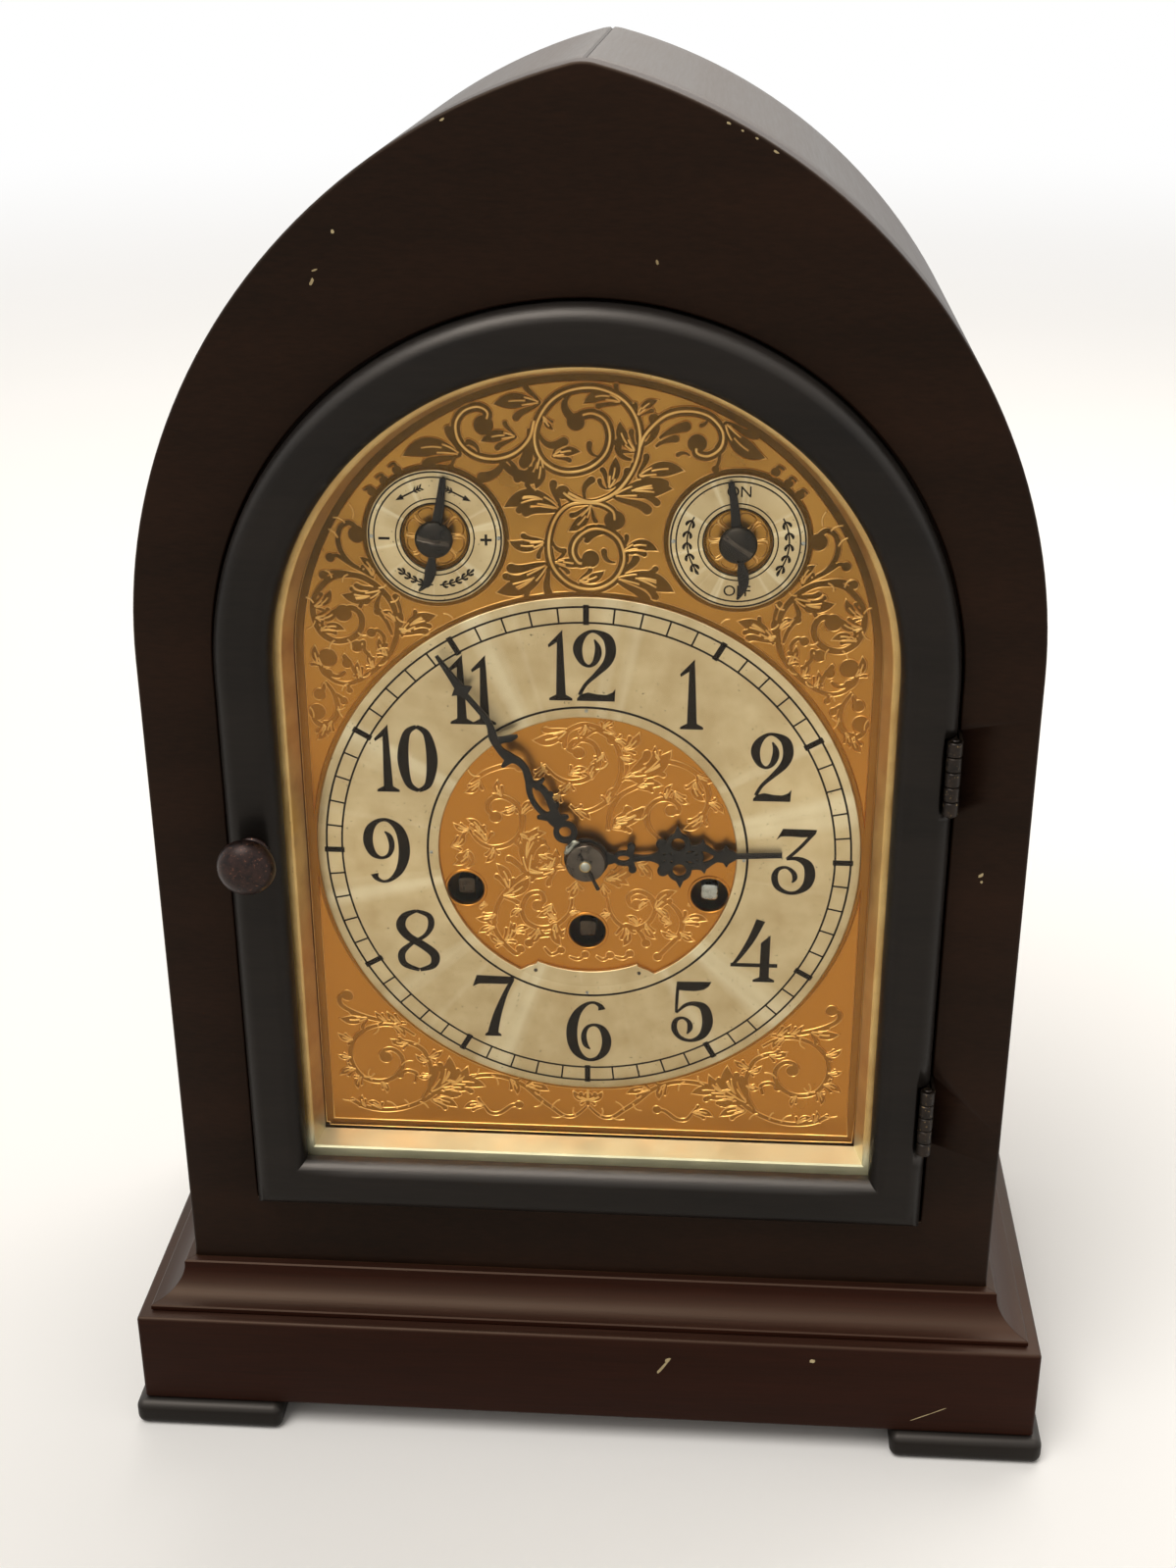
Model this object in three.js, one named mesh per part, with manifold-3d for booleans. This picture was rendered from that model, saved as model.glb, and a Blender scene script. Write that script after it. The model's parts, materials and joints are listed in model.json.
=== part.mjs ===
import * as THREE from 'three';
import { mergeVertices } from 'three/addons/utils/BufferGeometryUtils.js';
import Module from 'manifold-3d';

// A three-train chiming mantel clock in a pointed-arch wooden case with a round-topped glazed door.
// Millimetres: x runs right, y into the depth from the front face of the case, z up from the table.

const wasm = await Module();
wasm.setup();

// Base
const plinthWidth = 254;
const plinthHeight = 28.5;
const plinthChamfer = 0.8;
const footHeight = 8;
const footSide = 42.5;
const footReach = 2.5;
const footRound = 1.6;
const overhang = 14.5;
const mouldingHeight = 11.5;
const mouldingLedge = 2.6;
const mouldingFillet = 1;
const mouldingLip = 1.8;
const plinthLedge = 3.5;
const backMargin = 3;

// Case
const caseDepth = 122;
const wallHeight = 182;
const archRadius = 146;
const apexRound = 12;
const panelThickness = 10;
const shellWall = 8;
const touchGap = 0.1;

// Front door, its glass and brass sight frame
const doorHalf = 92;
const doorRise = 22;
const doorStile = 158;
const doorProud = 6;
const doorSeat = 5;
const doorGap = 0.8;
const seatGap = 0.3;
const doorRail = 14.5;
const railRound = 4.5;
const railLip = 5.5;
const glassRabbet = 3.5;
const glassThickness = 1.8;
const glassGap = 0.3;
const sightLip = 1.7;
const sightBevel = 2;
const sightDepth = 6.5;
const sightFlange = 2.5;
const sightWall = 1;
const panelShoulder = 12;
const knobRadius = 7.5;
const knobLength = 13;
const knobRise = 110.5;

// Hinges
const hingeLength = 20;
const upperHingeRise = 136.4;
const lowerHingeRise = 36.2;
const barrelRadius = 1.9;
const hingePin = 0.8;
const pinClearance = 0.3;
const leafThickness = 0.8;
const leafGap = 0.3;
const knuckleCount = 5;
const knuckleGap = 0.2;
const hingeInset = 0.9;
const hingeStand = 0.5;

// Back door
const backThickness = 8;
const backGap = 0.8;
const backUpperHingeRise = 150;
const backLowerHingeRise = 35;
const backLeafReach = 12;
const backRimReach = 7;
const slotCount = 5;
const slotWidth = 7;
const slotLength = 90;
const slotPitch = 20;
const slotRise = 70;
const buttonWidth = 6;
const buttonLength = 20;
const buttonThickness = 2;
const buttonRise = 110;

// Dial
const dialLap = 4;
const dialThickness = 1.5;
const ringThickness = 1.1;
const dialRise = 105;
const ringOuter = 71.3;
const ringInner = 39;
const subOuter = 17;
const subInner = 8.3;
const subSide = 37.1;
const subRise = 86;
const windingHole = 4.9;
const windingSide = 32.25;
const windingSideDrop = 11;
const windingDrop = 22.8;
const postRadius = 2.5;
const postSide = 47;
const postRise = 40;

// Hands and pointers
const handThickness = 1;
const hourLength = 50.7;
const minuteLength = 67.3;
const hourHub = 7;
const minuteHub = 5.2;
const hourStand = 1;
const handStep = 0.7;
const colletRadius = 5.2;
const colletThickness = 1.2;
const minuteAngle = THREE.MathUtils.degToRad(326.4);
const hourAngle = THREE.MathUtils.degToRad(87.2);
const pointerLength = 15.5;
const pointerTail = 13.8;
const pointerWidth = 3;
const pointerHead = 4.7;
const pointerArbor = 1.5;
const regulatorAngle = THREE.MathUtils.degToRad(10);
const silenceAngle = THREE.MathUtils.degToRad(-7.7);

// Movement
const plateThickness = 2.5;
const plateHalf = 54;
const plateBelow = 50;
const plateAbove = 56;
const plateSpacing = 47.5;
const motionSpace = 9.4;
const pillarRadius = 3.5;
const pillarSide = 46;
const pillarLow = 42;
const pillarHigh = 48;
const seatThickness = 12;
const seatBack = 75;
const seatFront = 13;
const arborRadius = 1.5;
const runningGap = 0.4;
const pivotRadius = 0.9;
const cannonRadius = 2.9;
const hourPipeRadius = 4.2;
const cannonTeeth = 8;
const minuteTeeth = 24;
const minutePinionTeeth = 6;
const hourTeeth = 24;
const motionDistance = 16;
const motionWheel = 1.8;
const greatTeeth = 36;
const sideTeeth = 26;
const pinionTeeth = 6;
const wheelTeeth = 36;
const wheelThickness = 2;
const centreModule = 1;
const thirdModule = 0.8;
const escapeTeeth = 18;
const escapeRadius = 12;
const drumRadius = 15.5;
const drumLength = 30;
const sideWheelRadius = 17.2;
const windingRadius = 2.8;
const squareSide = 4.6;
const arborEndRecess = 1.2;

// Pendulum, chime hammers and rods
const anchorReach = 16;
const palletClearance = 1.2;
const bobRadius = 15;
const bobThickness = 8;
const bobDrop = 104;
const pendulumStand = 13.5;
const rodWidth = 3;
const rodThickness = 1.6;
const crutchStand = 4;
const crutchThickness = 1.6;
const crutchWidth = 2.4;
const crutchLength = 34;
const hammerCount = 4;
const hammerMargin = 7.5;
const hammerFirst = 5;
const hammerPivotSide = 44;
const hammerPivotDrop = 25;
const hammerLean = 13;
const hammerReach = 40;
const hammerHead = 10;
const hammerPost = 1.5;
const chimeRodRadius = 1.5;
const chimeRodLength = 140;
const strikeGap = 1.5;
const chimeBlockSide = 26;
const chimeBlockHeight = 26;

// Heights and places worked out from the sizes above
const plinthTop = footHeight + plinthHeight;
const caseBottom = plinthTop + mouldingHeight;
const caseHalf = plinthWidth / 2 - overhang;
const springLine = caseBottom + wallHeight;
const archCentre = archRadius - caseHalf;
const plinthBack = caseDepth + backMargin;
const doorBottom = caseBottom + doorRise;
const doorSpring = doorBottom + doorStile;
const dialCentre = doorBottom + dialRise;
const openingHalf = doorHalf - panelShoulder;
const dialHalf = openingHalf + dialLap;
const dialFront = panelThickness + touchGap;
const dialBack = dialFront + dialThickness;
const ringFront = dialFront - touchGap - ringThickness;
const frontPlateY = dialBack + motionSpace;
const frontPlateBack = frontPlateY + plateThickness;
const backPlateY = frontPlateBack + plateSpacing;
const backPlateBack = backPlateY + plateThickness;
const plateBottom = dialCentre - plateBelow;
const hingeX = doorHalf - hingeInset;
const hingeY = -doorProud - hingeStand;
const stileCentre = doorHalf - doorRail / 2;
const rearBay = caseDepth - backThickness - backPlateBack;
const hammerPitch = (rearBay - hammerFirst - hammerMargin) / (hammerCount - 0.5);
const hammerThickness = hammerPitch / 2;

// Finishes
const finishes = {
  mahogany: { color: 0x2a1b15, roughness: 0.45, metalness: 0 },
  ebonised: { color: 0x1d1714, roughness: 0.4, metalness: 0 },
  pine: { color: 0x8a6a45, roughness: 0.7, metalness: 0 },
  glass: { color: 0xdde6e4, roughness: 0.05, metalness: 0, transparent: true, opacity: 0.25 },
  gilt: { color: 0xc08a3e, roughness: 0.35, metalness: 0.9 },
  silvered: { color: 0xbdb093, roughness: 0.4, metalness: 0.7 },
  brass: { color: 0xb8964e, roughness: 0.35, metalness: 0.9 },
  bronze: { color: 0x3a2a20, roughness: 0.5, metalness: 0.7 },
  blued: { color: 0x17161a, roughness: 0.4, metalness: 0.7 },
  steel: { color: 0x8d8f90, roughness: 0.35, metalness: 0.9 },
  iron: { color: 0x4a4846, roughness: 0.6, metalness: 0.7 },
};

const clock = new THREE.Group();
const frontReach = Math.max(doorProud + knobLength + touchGap, overhang + footReach);
const backReach = plinthBack + footReach;
clock.position.y = (frontReach - backReach) / 2;

function signedVolume(geometry) {
  const p = geometry.attributes.position;
  const index = geometry.index.array;
  const [a, b, c] = [new THREE.Vector3(), new THREE.Vector3(), new THREE.Vector3()];
  let sum = 0;
  for (let i = 0; i < index.length; i += 3) {
    a.fromBufferAttribute(p, index[i]);
    b.fromBufferAttribute(p, index[i + 1]);
    c.fromBufferAttribute(p, index[i + 2]);
    sum += a.dot(b.cross(c)) / 6;
  }
  return sum;
}

// Shared vertices merged, flat triangles dropped and faces turned outwards.
function closed(geometry) {
  const bare = geometry.clone();
  bare.deleteAttribute('normal');
  bare.deleteAttribute('uv');
  const merged = mergeVertices(bare, 1e-4);
  const kept = [];
  const index = merged.index.array;
  for (let i = 0; i < index.length; i += 3) {
    const [a, b, c] = [index[i], index[i + 1], index[i + 2]];
    if (a !== b && b !== c && c !== a) kept.push(a, b, c);
  }
  merged.setIndex(kept);
  if (signedVolume(merged) < 0) {
    for (let i = 0; i < kept.length; i += 3) [kept[i], kept[i + 1]] = [kept[i + 1], kept[i]];
    merged.setIndex(kept);
  }
  return merged;
}

function toSolid(geometry) {
  const mesh = closed(geometry);
  const vertProperties = new Float32Array(mesh.attributes.position.array);
  const triVerts = new Uint32Array(mesh.index.array);
  return new wasm.Manifold(new wasm.Mesh({ numProp: 3, vertProperties, triVerts }));
}

function toGeometry(body) {
  const mesh = body.getMesh();
  const geometry = new THREE.BufferGeometry();
  geometry.setAttribute('position', new THREE.BufferAttribute(new Float32Array(mesh.vertProperties), 3));
  geometry.setIndex(new THREE.BufferAttribute(new Uint32Array(mesh.triVerts), 1));
  return geometry;
}

function join(...pieces) {
  return toGeometry(pieces.map(toSolid).reduce((all, next) => all.add(next)));
}

function cut(piece, ...tools) {
  return toGeometry(tools.map(toSolid).reduce((left, tool) => left.subtract(tool), toSolid(piece)));
}

function addPiece(name, geometry, finish, place = [0, 0, 0], turn = 0) {
  const ready = closed(geometry);
  ready.computeVertexNormals();
  const mesh = new THREE.Mesh(ready, new THREE.MeshStandardMaterial(finishes[finish]));
  mesh.name = name;
  mesh.position.set(...place);
  mesh.rotation.y = turn;
  clock.add(mesh);
  return mesh;
}

// Basic forms: a box between two corners, a plate of an upright outline, turned pieces along the depth.
function box(low, high) {
  const size = high.map((value, i) => value - low[i]);
  const middle = high.map((value, i) => (value + low[i]) / 2);
  return new THREE.BoxGeometry(...size).translate(...middle);
}

function plate(shape, front, back, segments = 16) {
  const settings = { depth: back - front, bevelEnabled: false, curveSegments: segments };
  return new THREE.ExtrudeGeometry(shape, settings).rotateX(Math.PI / 2).translate(0, back, 0);
}

function turned(profile, segments = 20) {
  return new THREE.LatheGeometry(profile.map(([r, y]) => new THREE.Vector2(r, y)), segments);
}

function rod(radius, front, back, segments = 16) {
  return turned([[0, front], [radius, front], [radius, back], [0, back]], segments);
}

function tube(inner, outer, front, back, segments = 24) {
  return turned([[inner, front], [outer, front], [outer, back], [inner, back], [inner, front]], segments);
}

function indexed(positions, index) {
  const geometry = new THREE.BufferGeometry();
  geometry.setAttribute('position', new THREE.Float32BufferAttribute(positions, 3));
  geometry.setIndex(index);
  return geometry;
}

function polygon(points) {
  return new THREE.Shape(points.map(([x, z]) => new THREE.Vector2(x, z)));
}

// The pointed arch: straight walls, two arcs struck from opposite sides and a softened apex.
function pointedArch(inset, bottom) {
  const half = caseHalf - inset;
  const radius = archRadius - inset;
  const round = Math.max(apexRound - inset, 1);
  const apexCentre = Math.sqrt((radius - round) ** 2 - archCentre ** 2);
  const meet = Math.atan2(apexCentre, archCentre);
  const shape = new THREE.Shape();
  shape.moveTo(-half, bottom);
  shape.lineTo(half, bottom);
  shape.lineTo(half, springLine);
  shape.absarc(-archCentre, springLine, radius, 0, meet, false);
  shape.absarc(0, springLine + apexCentre, round, meet, Math.PI - meet, false);
  shape.absarc(archCentre, springLine, radius, Math.PI - meet, Math.PI, false);
  shape.lineTo(-half, bottom);
  return shape;
}

// The round-topped arch of the door, its glass and the dial, by its half width.
function roundArch(half) {
  const bottom = doorBottom + doorHalf - half;
  const shape = new THREE.Shape();
  shape.moveTo(-half, bottom);
  shape.lineTo(half, bottom);
  shape.lineTo(half, doorSpring);
  shape.absarc(0, doorSpring, half, 0, Math.PI, false);
  shape.lineTo(-half, bottom);
  return shape;
}

const archSteps = 32;

function archLoop(half) {
  const bottom = doorBottom + doorHalf - half;
  const loop = [[-half, bottom], [half, bottom]];
  for (let i = 0; i <= archSteps; i++) {
    const angle = (Math.PI * i) / archSteps;
    loop.push([half * Math.cos(angle), doorSpring + half * Math.sin(angle)]);
  }
  return loop;
}

// A strip of constant section carried round the door's outline, mitred at the bottom corners.
function archStrip(section) {
  const rings = section.map(([half, y]) => archLoop(half).map(([x, z]) => [x, y, z]));
  const count = rings[0].length;
  const positions = rings.flat(2);
  const index = [];
  for (let s = 0; s < rings.length; s++) {
    const next = (s + 1) % rings.length;
    for (let i = 0; i < count; i++) {
      const j = (i + 1) % count;
      index.push(s * count + i, s * count + j, next * count + i);
      index.push(s * count + j, next * count + j, next * count + i);
    }
  }
  return indexed(positions, index);
}

function quarterRound(centre, radius, from, steps = 3) {
  const points = [];
  for (let i = 0; i <= steps; i++) {
    const angle = from + (Math.PI / 2) * (i / steps);
    points.push([centre[0] + radius * Math.cos(angle), centre[1] + radius * Math.sin(angle)]);
  }
  return points;
}

// Base: four slab feet, the plinth, a cove moulding of three mitred strips and the board inside it.
function slab([x0, y0], [x1, y1], layers) {
  const corners = (inset) => [
    [x0 + inset, y0 + inset], [x1 - inset, y0 + inset], [x1 - inset, y1 - inset], [x0 + inset, y1 - inset],
  ];
  const positions = layers.flatMap(([inset, z]) => corners(inset).flatMap(([x, y]) => [x, y, z]));
  const index = [0, 2, 1, 0, 3, 2];
  for (let s = 0; s + 1 < layers.length; s++) {
    for (let i = 0; i < 4; i++) {
      const a = s * 4 + i;
      const b = s * 4 + ((i + 1) % 4);
      index.push(a, b, a + 4, b, b + 4, a + 4);
    }
  }
  const top = (layers.length - 1) * 4;
  index.push(top, top + 1, top + 2, top, top + 2, top + 3);
  return indexed(positions, index);
}

function bullnose(round, height, steps = 3) {
  const lower = [];
  for (let i = 0; i <= steps; i++) {
    const angle = (Math.PI / 2) * (i / steps);
    lower.push([round * (1 - Math.sin(angle)), round * (1 - Math.cos(angle))]);
  }
  return [...lower, ...lower.map(([inset, z]) => [inset, height - z]).reverse()];
}

const footOuter = plinthWidth / 2 + footReach;
const footFront = -overhang - footReach;
const footBack = plinthBack + footReach;
const footLayers = bullnose(footRound, footHeight - touchGap);
for (const [name, x, y] of [
  ['foot_front_left', -footOuter, footFront],
  ['foot_front_right', footOuter - footSide, footFront],
  ['foot_back_left', -footOuter, footBack - footSide],
  ['foot_back_right', footOuter - footSide, footBack - footSide],
]) {
  addPiece(name, slab([0, 0], [footSide, footSide], footLayers), 'ebonised', [x, y, 0]);
}

addPiece('base_plinth', slab([-plinthWidth / 2, -overhang], [plinthWidth / 2, plinthBack], [
  [0, footHeight],
  [0, plinthTop - plinthChamfer],
  [plinthChamfer, plinthTop],
]), 'mahogany');

// Section of the moulding as [distance out from the case wall, height above the plinth].
function mouldingSection() {
  const lipOut = overhang - plinthLedge;
  const coveTop = mouldingHeight - mouldingFillet;
  const section = [[0, touchGap], [lipOut, touchGap], [lipOut, mouldingLip]];
  const steps = 6;
  for (let i = 1; i <= steps; i++) {
    const angle = (Math.PI / 2) * (i / steps);
    const out = mouldingLedge + (lipOut - mouldingLedge) * (1 - Math.sin(angle));
    const up = mouldingLip + (coveTop - mouldingLip) * (1 - Math.cos(angle));
    section.push([out, up]);
  }
  return [...section, [mouldingLedge, mouldingHeight], [0, mouldingHeight]];
}

// One strip: a ring of section points at each end, each end cut by its own place function.
function strip(section, startOf, endOf) {
  const positions = [...section.map(startOf), ...section.map(endOf)].flat();
  const count = section.length;
  const index = [];
  for (let i = 0; i < count; i++) {
    const j = (i + 1) % count;
    index.push(i, j, count + i, j, count + j, count + i);
  }
  const outline = section.map(([out, up]) => new THREE.Vector2(out, up));
  for (const [a, b, c] of THREE.ShapeUtils.triangulateShape(outline, [])) {
    index.push(a, c, b, count + a, count + b, count + c);
  }
  return indexed(positions, index);
}

const section = mouldingSection();
const wall = caseHalf + touchGap;
addPiece('base_moulding_front', strip(
  section,
  ([out, up]) => [-wall - out + touchGap, -out - touchGap, plinthTop + up],
  ([out, up]) => [wall + out - touchGap, -out - touchGap, plinthTop + up],
), 'mahogany');
for (const [name, side] of [['base_moulding_left', -1], ['base_moulding_right', 1]]) {
  addPiece(name, strip(
    section,
    ([out, up]) => [side * (wall + out), -out, plinthTop + up],
    ([out, up]) => [side * (wall + out), plinthBack, plinthTop + up],
  ), 'mahogany');
}
addPiece('base_board', box(
  [-caseHalf, 0, plinthTop + touchGap],
  [caseHalf, plinthBack, caseBottom],
), 'pine');

// Case: the front panel with its stepped opening, and two side shells mitred at the ridge.
const hingeHeights = [
  ['upper', doorBottom + upperHingeRise],
  ['lower', doorBottom + lowerHingeRise],
];
const mortiseHalf = hingeLength / 2 + leafGap;
const caseLeafX = hingeInset + leafGap;
const leafFront = barrelRadius + leafGap;
const caseLeafEnd = -hingeY + doorSeat - leafGap;
const panelBottom = caseBottom + touchGap;
addPiece('front_panel', cut(
  plate(pointedArch(0, panelBottom), 0, panelThickness, 14),
  plate(roundArch(doorHalf + doorGap), -doorSeat, doorSeat, 24),
  plate(roundArch(openingHalf), -doorSeat, panelThickness + doorSeat, 24),
  ...hingeHeights.map(([, z]) => box(
    [hingeX - hingeInset, -doorSeat, z - mortiseHalf],
    [hingeX + caseLeafX + leafThickness + leafGap, doorSeat, z + mortiseHalf],
  )),
), 'mahogany');

function halfShell(side) {
  const inner = archRadius - shellWall;
  const apexCentre = Math.sqrt((archRadius - apexRound) ** 2 - archCentre ** 2);
  const meet = Math.atan2(apexCentre, archCentre);
  const innerMeet = Math.acos(archCentre / inner);
  const path = new THREE.Path();
  path.moveTo(caseHalf, panelBottom);
  path.lineTo(caseHalf, springLine);
  path.absarc(-archCentre, springLine, archRadius, 0, meet, false);
  path.absarc(0, springLine + apexCentre, apexRound, meet, Math.PI / 2, false);
  path.absarc(-archCentre, springLine, inner, innerMeet, 0, true);
  path.lineTo(caseHalf - shellWall, panelBottom);
  const outline = path.getPoints(14).map(({ x, y }) => [side * (x + touchGap / 2), y]);
  return plate(polygon(outline), panelThickness + touchGap, caseDepth);
}

addPiece('left_shell', halfShell(-1), 'mahogany');
addPiece('right_shell', halfShell(1), 'mahogany');

const seatTop = plateBottom - touchGap;
const innerHalf = caseHalf - shellWall;
addPiece('seat_board', box(
  [-innerHalf + seatGap, seatFront, seatTop - seatThickness],
  [innerHalf - seatGap, seatBack, seatTop],
), 'pine');

// Front door: moulded frame, glass, bevelled brass sight frame and turned knob.
const doorBack = doorSeat - seatGap;
const railInner = doorHalf - doorRail;
const railFront = -doorProud;
const lipBack = railFront + railLip;
const rabbetHalf = railInner + glassRabbet;
const frameBlank = archStrip([
  [doorHalf, doorBack],
  ...quarterRound([doorHalf - railRound, railFront + railRound], railRound, 0).map(
    ([half, y]) => [half, 2 * (railFront + railRound) - y],
  ),
  ...quarterRound([railInner + railRound, railFront + railRound], railRound, Math.PI / 2).map(
    ([half, y]) => [half, 2 * (railFront + railRound) - y],
  ),
  [railInner, lipBack],
  [rabbetHalf, lipBack],
  [rabbetHalf, doorBack],
]);
const doorLeafX = hingeInset - leafGap - leafThickness;
const doorLeafEnd = -hingeY + doorBack - leafGap;
addPiece('door_frame', cut(frameBlank, ...hingeHeights.flatMap(([, z]) => [
  box(
    [hingeX - barrelRadius - leafGap, hingeY - barrelRadius, z - mortiseHalf],
    [doorHalf + doorGap, hingeY + leafFront, z + mortiseHalf],
  ),
  box(
    [hingeX + doorLeafX - leafGap, hingeY, z - mortiseHalf],
    [doorHalf + doorGap, hingeY + doorLeafEnd + leafGap / 2, z + mortiseHalf],
  ),
])), 'ebonised');

const glassFront = lipBack + glassGap;
const glassBack = glassFront + glassThickness;
const sightFront = glassBack + glassGap;
const sightOuter = rabbetHalf - glassGap;
const sightInner = railInner - sightLip;
addPiece('door_glass', plate(roundArch(sightOuter), glassFront, glassBack, 24), 'glass');
addPiece('sight_frame', archStrip([
  [sightOuter, sightFront],
  [sightInner, sightFront],
  [sightInner - sightBevel, sightFront + sightDepth],
  [sightInner - sightBevel + sightWall, sightFront + sightDepth],
  [sightInner + sightWall, sightFront + sightFlange],
  [sightOuter, sightFront + sightFlange],
]), 'brass');

addPiece('door_knob', turned([
  [0, -knobLength],
  [knobRadius * 0.5, -knobLength + 0.6],
  [knobRadius * 0.85, -knobLength + 2.4],
  [knobRadius, -knobLength + 4.8],
  [knobRadius * 0.9, -knobLength + 6.8],
  [knobRadius * 0.5, -knobLength + 8.6],
  [knobRadius * 0.42, -2],
  [knobRadius * 0.6, -1],
  [knobRadius * 0.6, 0],
  [0, 0],
], 20), 'bronze', [-stileCentre, railFront - touchGap, doorBottom + knobRise]);

// A butt hinge leaf along z about its own pin line; even knuckles and the pin belong to the fixed leaf.
function hingeLeaf(fixed, plateLow, plateHigh, tabLow, tabHigh) {
  const step = hingeLength / knuckleCount;
  const pieces = [box([...plateLow, -hingeLength / 2], [...plateHigh, hingeLength / 2])];
  const upright = (radius, low, high) => rod(radius, low, high, 10).rotateX(Math.PI / 2);
  for (let i = fixed ? 0 : 1; i < knuckleCount; i += 2) {
    const low = -hingeLength / 2 + i * step + knuckleGap / 2;
    const high = low + step - knuckleGap;
    pieces.push(box([...tabLow, low], [...tabHigh, high]), upright(barrelRadius, low, high));
  }
  if (fixed) return join(...pieces, upright(hingePin, -hingeLength / 2 + knuckleGap, hingeLength / 2 - knuckleGap));
  return cut(join(...pieces), upright(hingePin + pinClearance, -hingeLength, hingeLength));
}

for (const [level, z] of hingeHeights) {
  addPiece(`${level}_hinge_case_leaf`, hingeLeaf(
    true,
    [caseLeafX, leafFront],
    [caseLeafX + leafThickness, caseLeafEnd],
    [caseLeafX, 0],
    [caseLeafX + leafThickness * 0.8, leafFront + leafThickness],
  ), 'bronze', [hingeX, hingeY, z]);
  addPiece(`${level}_hinge_door_leaf`, hingeLeaf(
    false,
    [doorLeafX, leafFront],
    [doorLeafX + leafThickness, doorLeafEnd],
    [doorLeafX, hingePin],
    [doorLeafX + leafThickness, leafFront + leafThickness],
  ), 'bronze', [hingeX, hingeY, z]);
}

// Back door: an arched board inside the shells with sound slots, two surface hinges and a turn button.
const backInset = shellWall + backGap;
const backFront = caseDepth - backThickness;
const slots = [];
for (let i = 0; i < slotCount; i++) {
  const x = (i - (slotCount - 1) / 2) * slotPitch;
  const low = caseBottom + slotRise;
  const shape = new THREE.Shape();
  shape.moveTo(x + slotWidth / 2, low);
  shape.lineTo(x + slotWidth / 2, low + slotLength);
  shape.absarc(x, low + slotLength, slotWidth / 2, 0, Math.PI, false);
  shape.lineTo(x - slotWidth / 2, low);
  shape.absarc(x, low, slotWidth / 2, Math.PI, 2 * Math.PI, false);
  slots.push(plate(shape, backFront - backGap, caseDepth + backGap, 4));
}
addPiece('back_door', cut(
  plate(pointedArch(backInset, caseBottom + backGap), backFront, caseDepth, 10),
  ...slots,
), 'pine');

const backHingeX = innerHalf - backGap / 2;
const backHingeY = caseDepth + touchGap + barrelRadius;
for (const [level, rise] of [['upper', backUpperHingeRise], ['lower', backLowerHingeRise]]) {
  const place = [backHingeX, backHingeY, caseBottom + rise];
  const flat = [-barrelRadius, -barrelRadius + leafThickness];
  addPiece(`back_${level}_hinge_case_leaf`, hingeLeaf(
    true,
    [leafFront, flat[0]],
    [backRimReach, flat[1]],
    [0, flat[0]],
    [leafFront + leafThickness, flat[1]],
  ), 'brass', place);
  addPiece(`back_${level}_hinge_door_leaf`, hingeLeaf(
    false,
    [-backLeafReach, flat[0]],
    [-leafFront, flat[1]],
    [-leafFront - leafThickness, flat[0]],
    [-hingePin, flat[1]],
  ), 'brass', place);
}

const buttonShape = new THREE.Shape();
buttonShape.absarc(0, 0, buttonWidth / 2, Math.PI, 2 * Math.PI, false);
buttonShape.lineTo(buttonWidth / 2, buttonLength - buttonWidth);
buttonShape.absarc(0, buttonLength - buttonWidth, buttonWidth / 2, 0, Math.PI, false);
addPiece('back_turn_button', join(
  plate(buttonShape, 0, buttonThickness, 8),
  rod(buttonWidth / 3, buttonThickness - touchGap, buttonThickness + 0.8, 12),
), 'brass', [-caseHalf + shellWall / 2, caseDepth + touchGap, caseBottom + buttonRise]);

// Dial: etched plate on four riveted posts, silvered chapter ring and two small rings.
function hole(x, z, radius, segments = 20) {
  return rod(radius, panelThickness - doorSeat, backPlateBack + doorSeat, segments).translate(x, 0, z);
}

const windingPlaces = {
  strike: [-windingSide, -windingSideDrop],
  time: [0, -windingDrop],
  chime: [windingSide, -windingSideDrop],
};
const posts = [[-1, 1], [1, 1], [-1, -1], [1, -1]].map(([sx, sz]) => rod(
  postRadius,
  dialBack - dialThickness / 2,
  frontPlateY - touchGap,
  10,
).translate(sx * postSide, 0, dialCentre + sz * postRise));
addPiece('dial_plate', cut(
  join(plate(roundArch(dialHalf), dialFront, dialBack, 24), ...posts),
  hole(0, dialCentre, hourPipeRadius + runningGap),
  ...Object.values(windingPlaces).map(([x, drop]) => hole(x, dialCentre + drop, windingHole)),
  hole(-subSide, dialCentre + subRise, pointerArbor + runningGap, 12),
  hole(subSide, dialCentre + subRise, pointerArbor + runningGap, 12),
), 'gilt');
addPiece('chapter_ring', tube(ringInner, ringOuter, ringFront, ringFront + ringThickness, 48), 'silvered', [
  0, 0, dialCentre,
]);
for (const [name, side] of [['regulator_ring', -1], ['silence_ring', 1]]) {
  const ring = tube(subInner, subOuter, ringFront, ringFront + ringThickness, 32);
  addPiece(name, ring, 'silvered', [side * subSide, 0, dialCentre + subRise]);
}

// Flat openwork for the hands, drawn pointing up: bars by stations of [height, half width], loops and spurs.
function bar(stations) {
  const right = stations.map(([z, half]) => [half, z]);
  const left = stations.map(([z, half]) => [-half, z]).reverse();
  return polygon([...right, ...left]);
}

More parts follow.
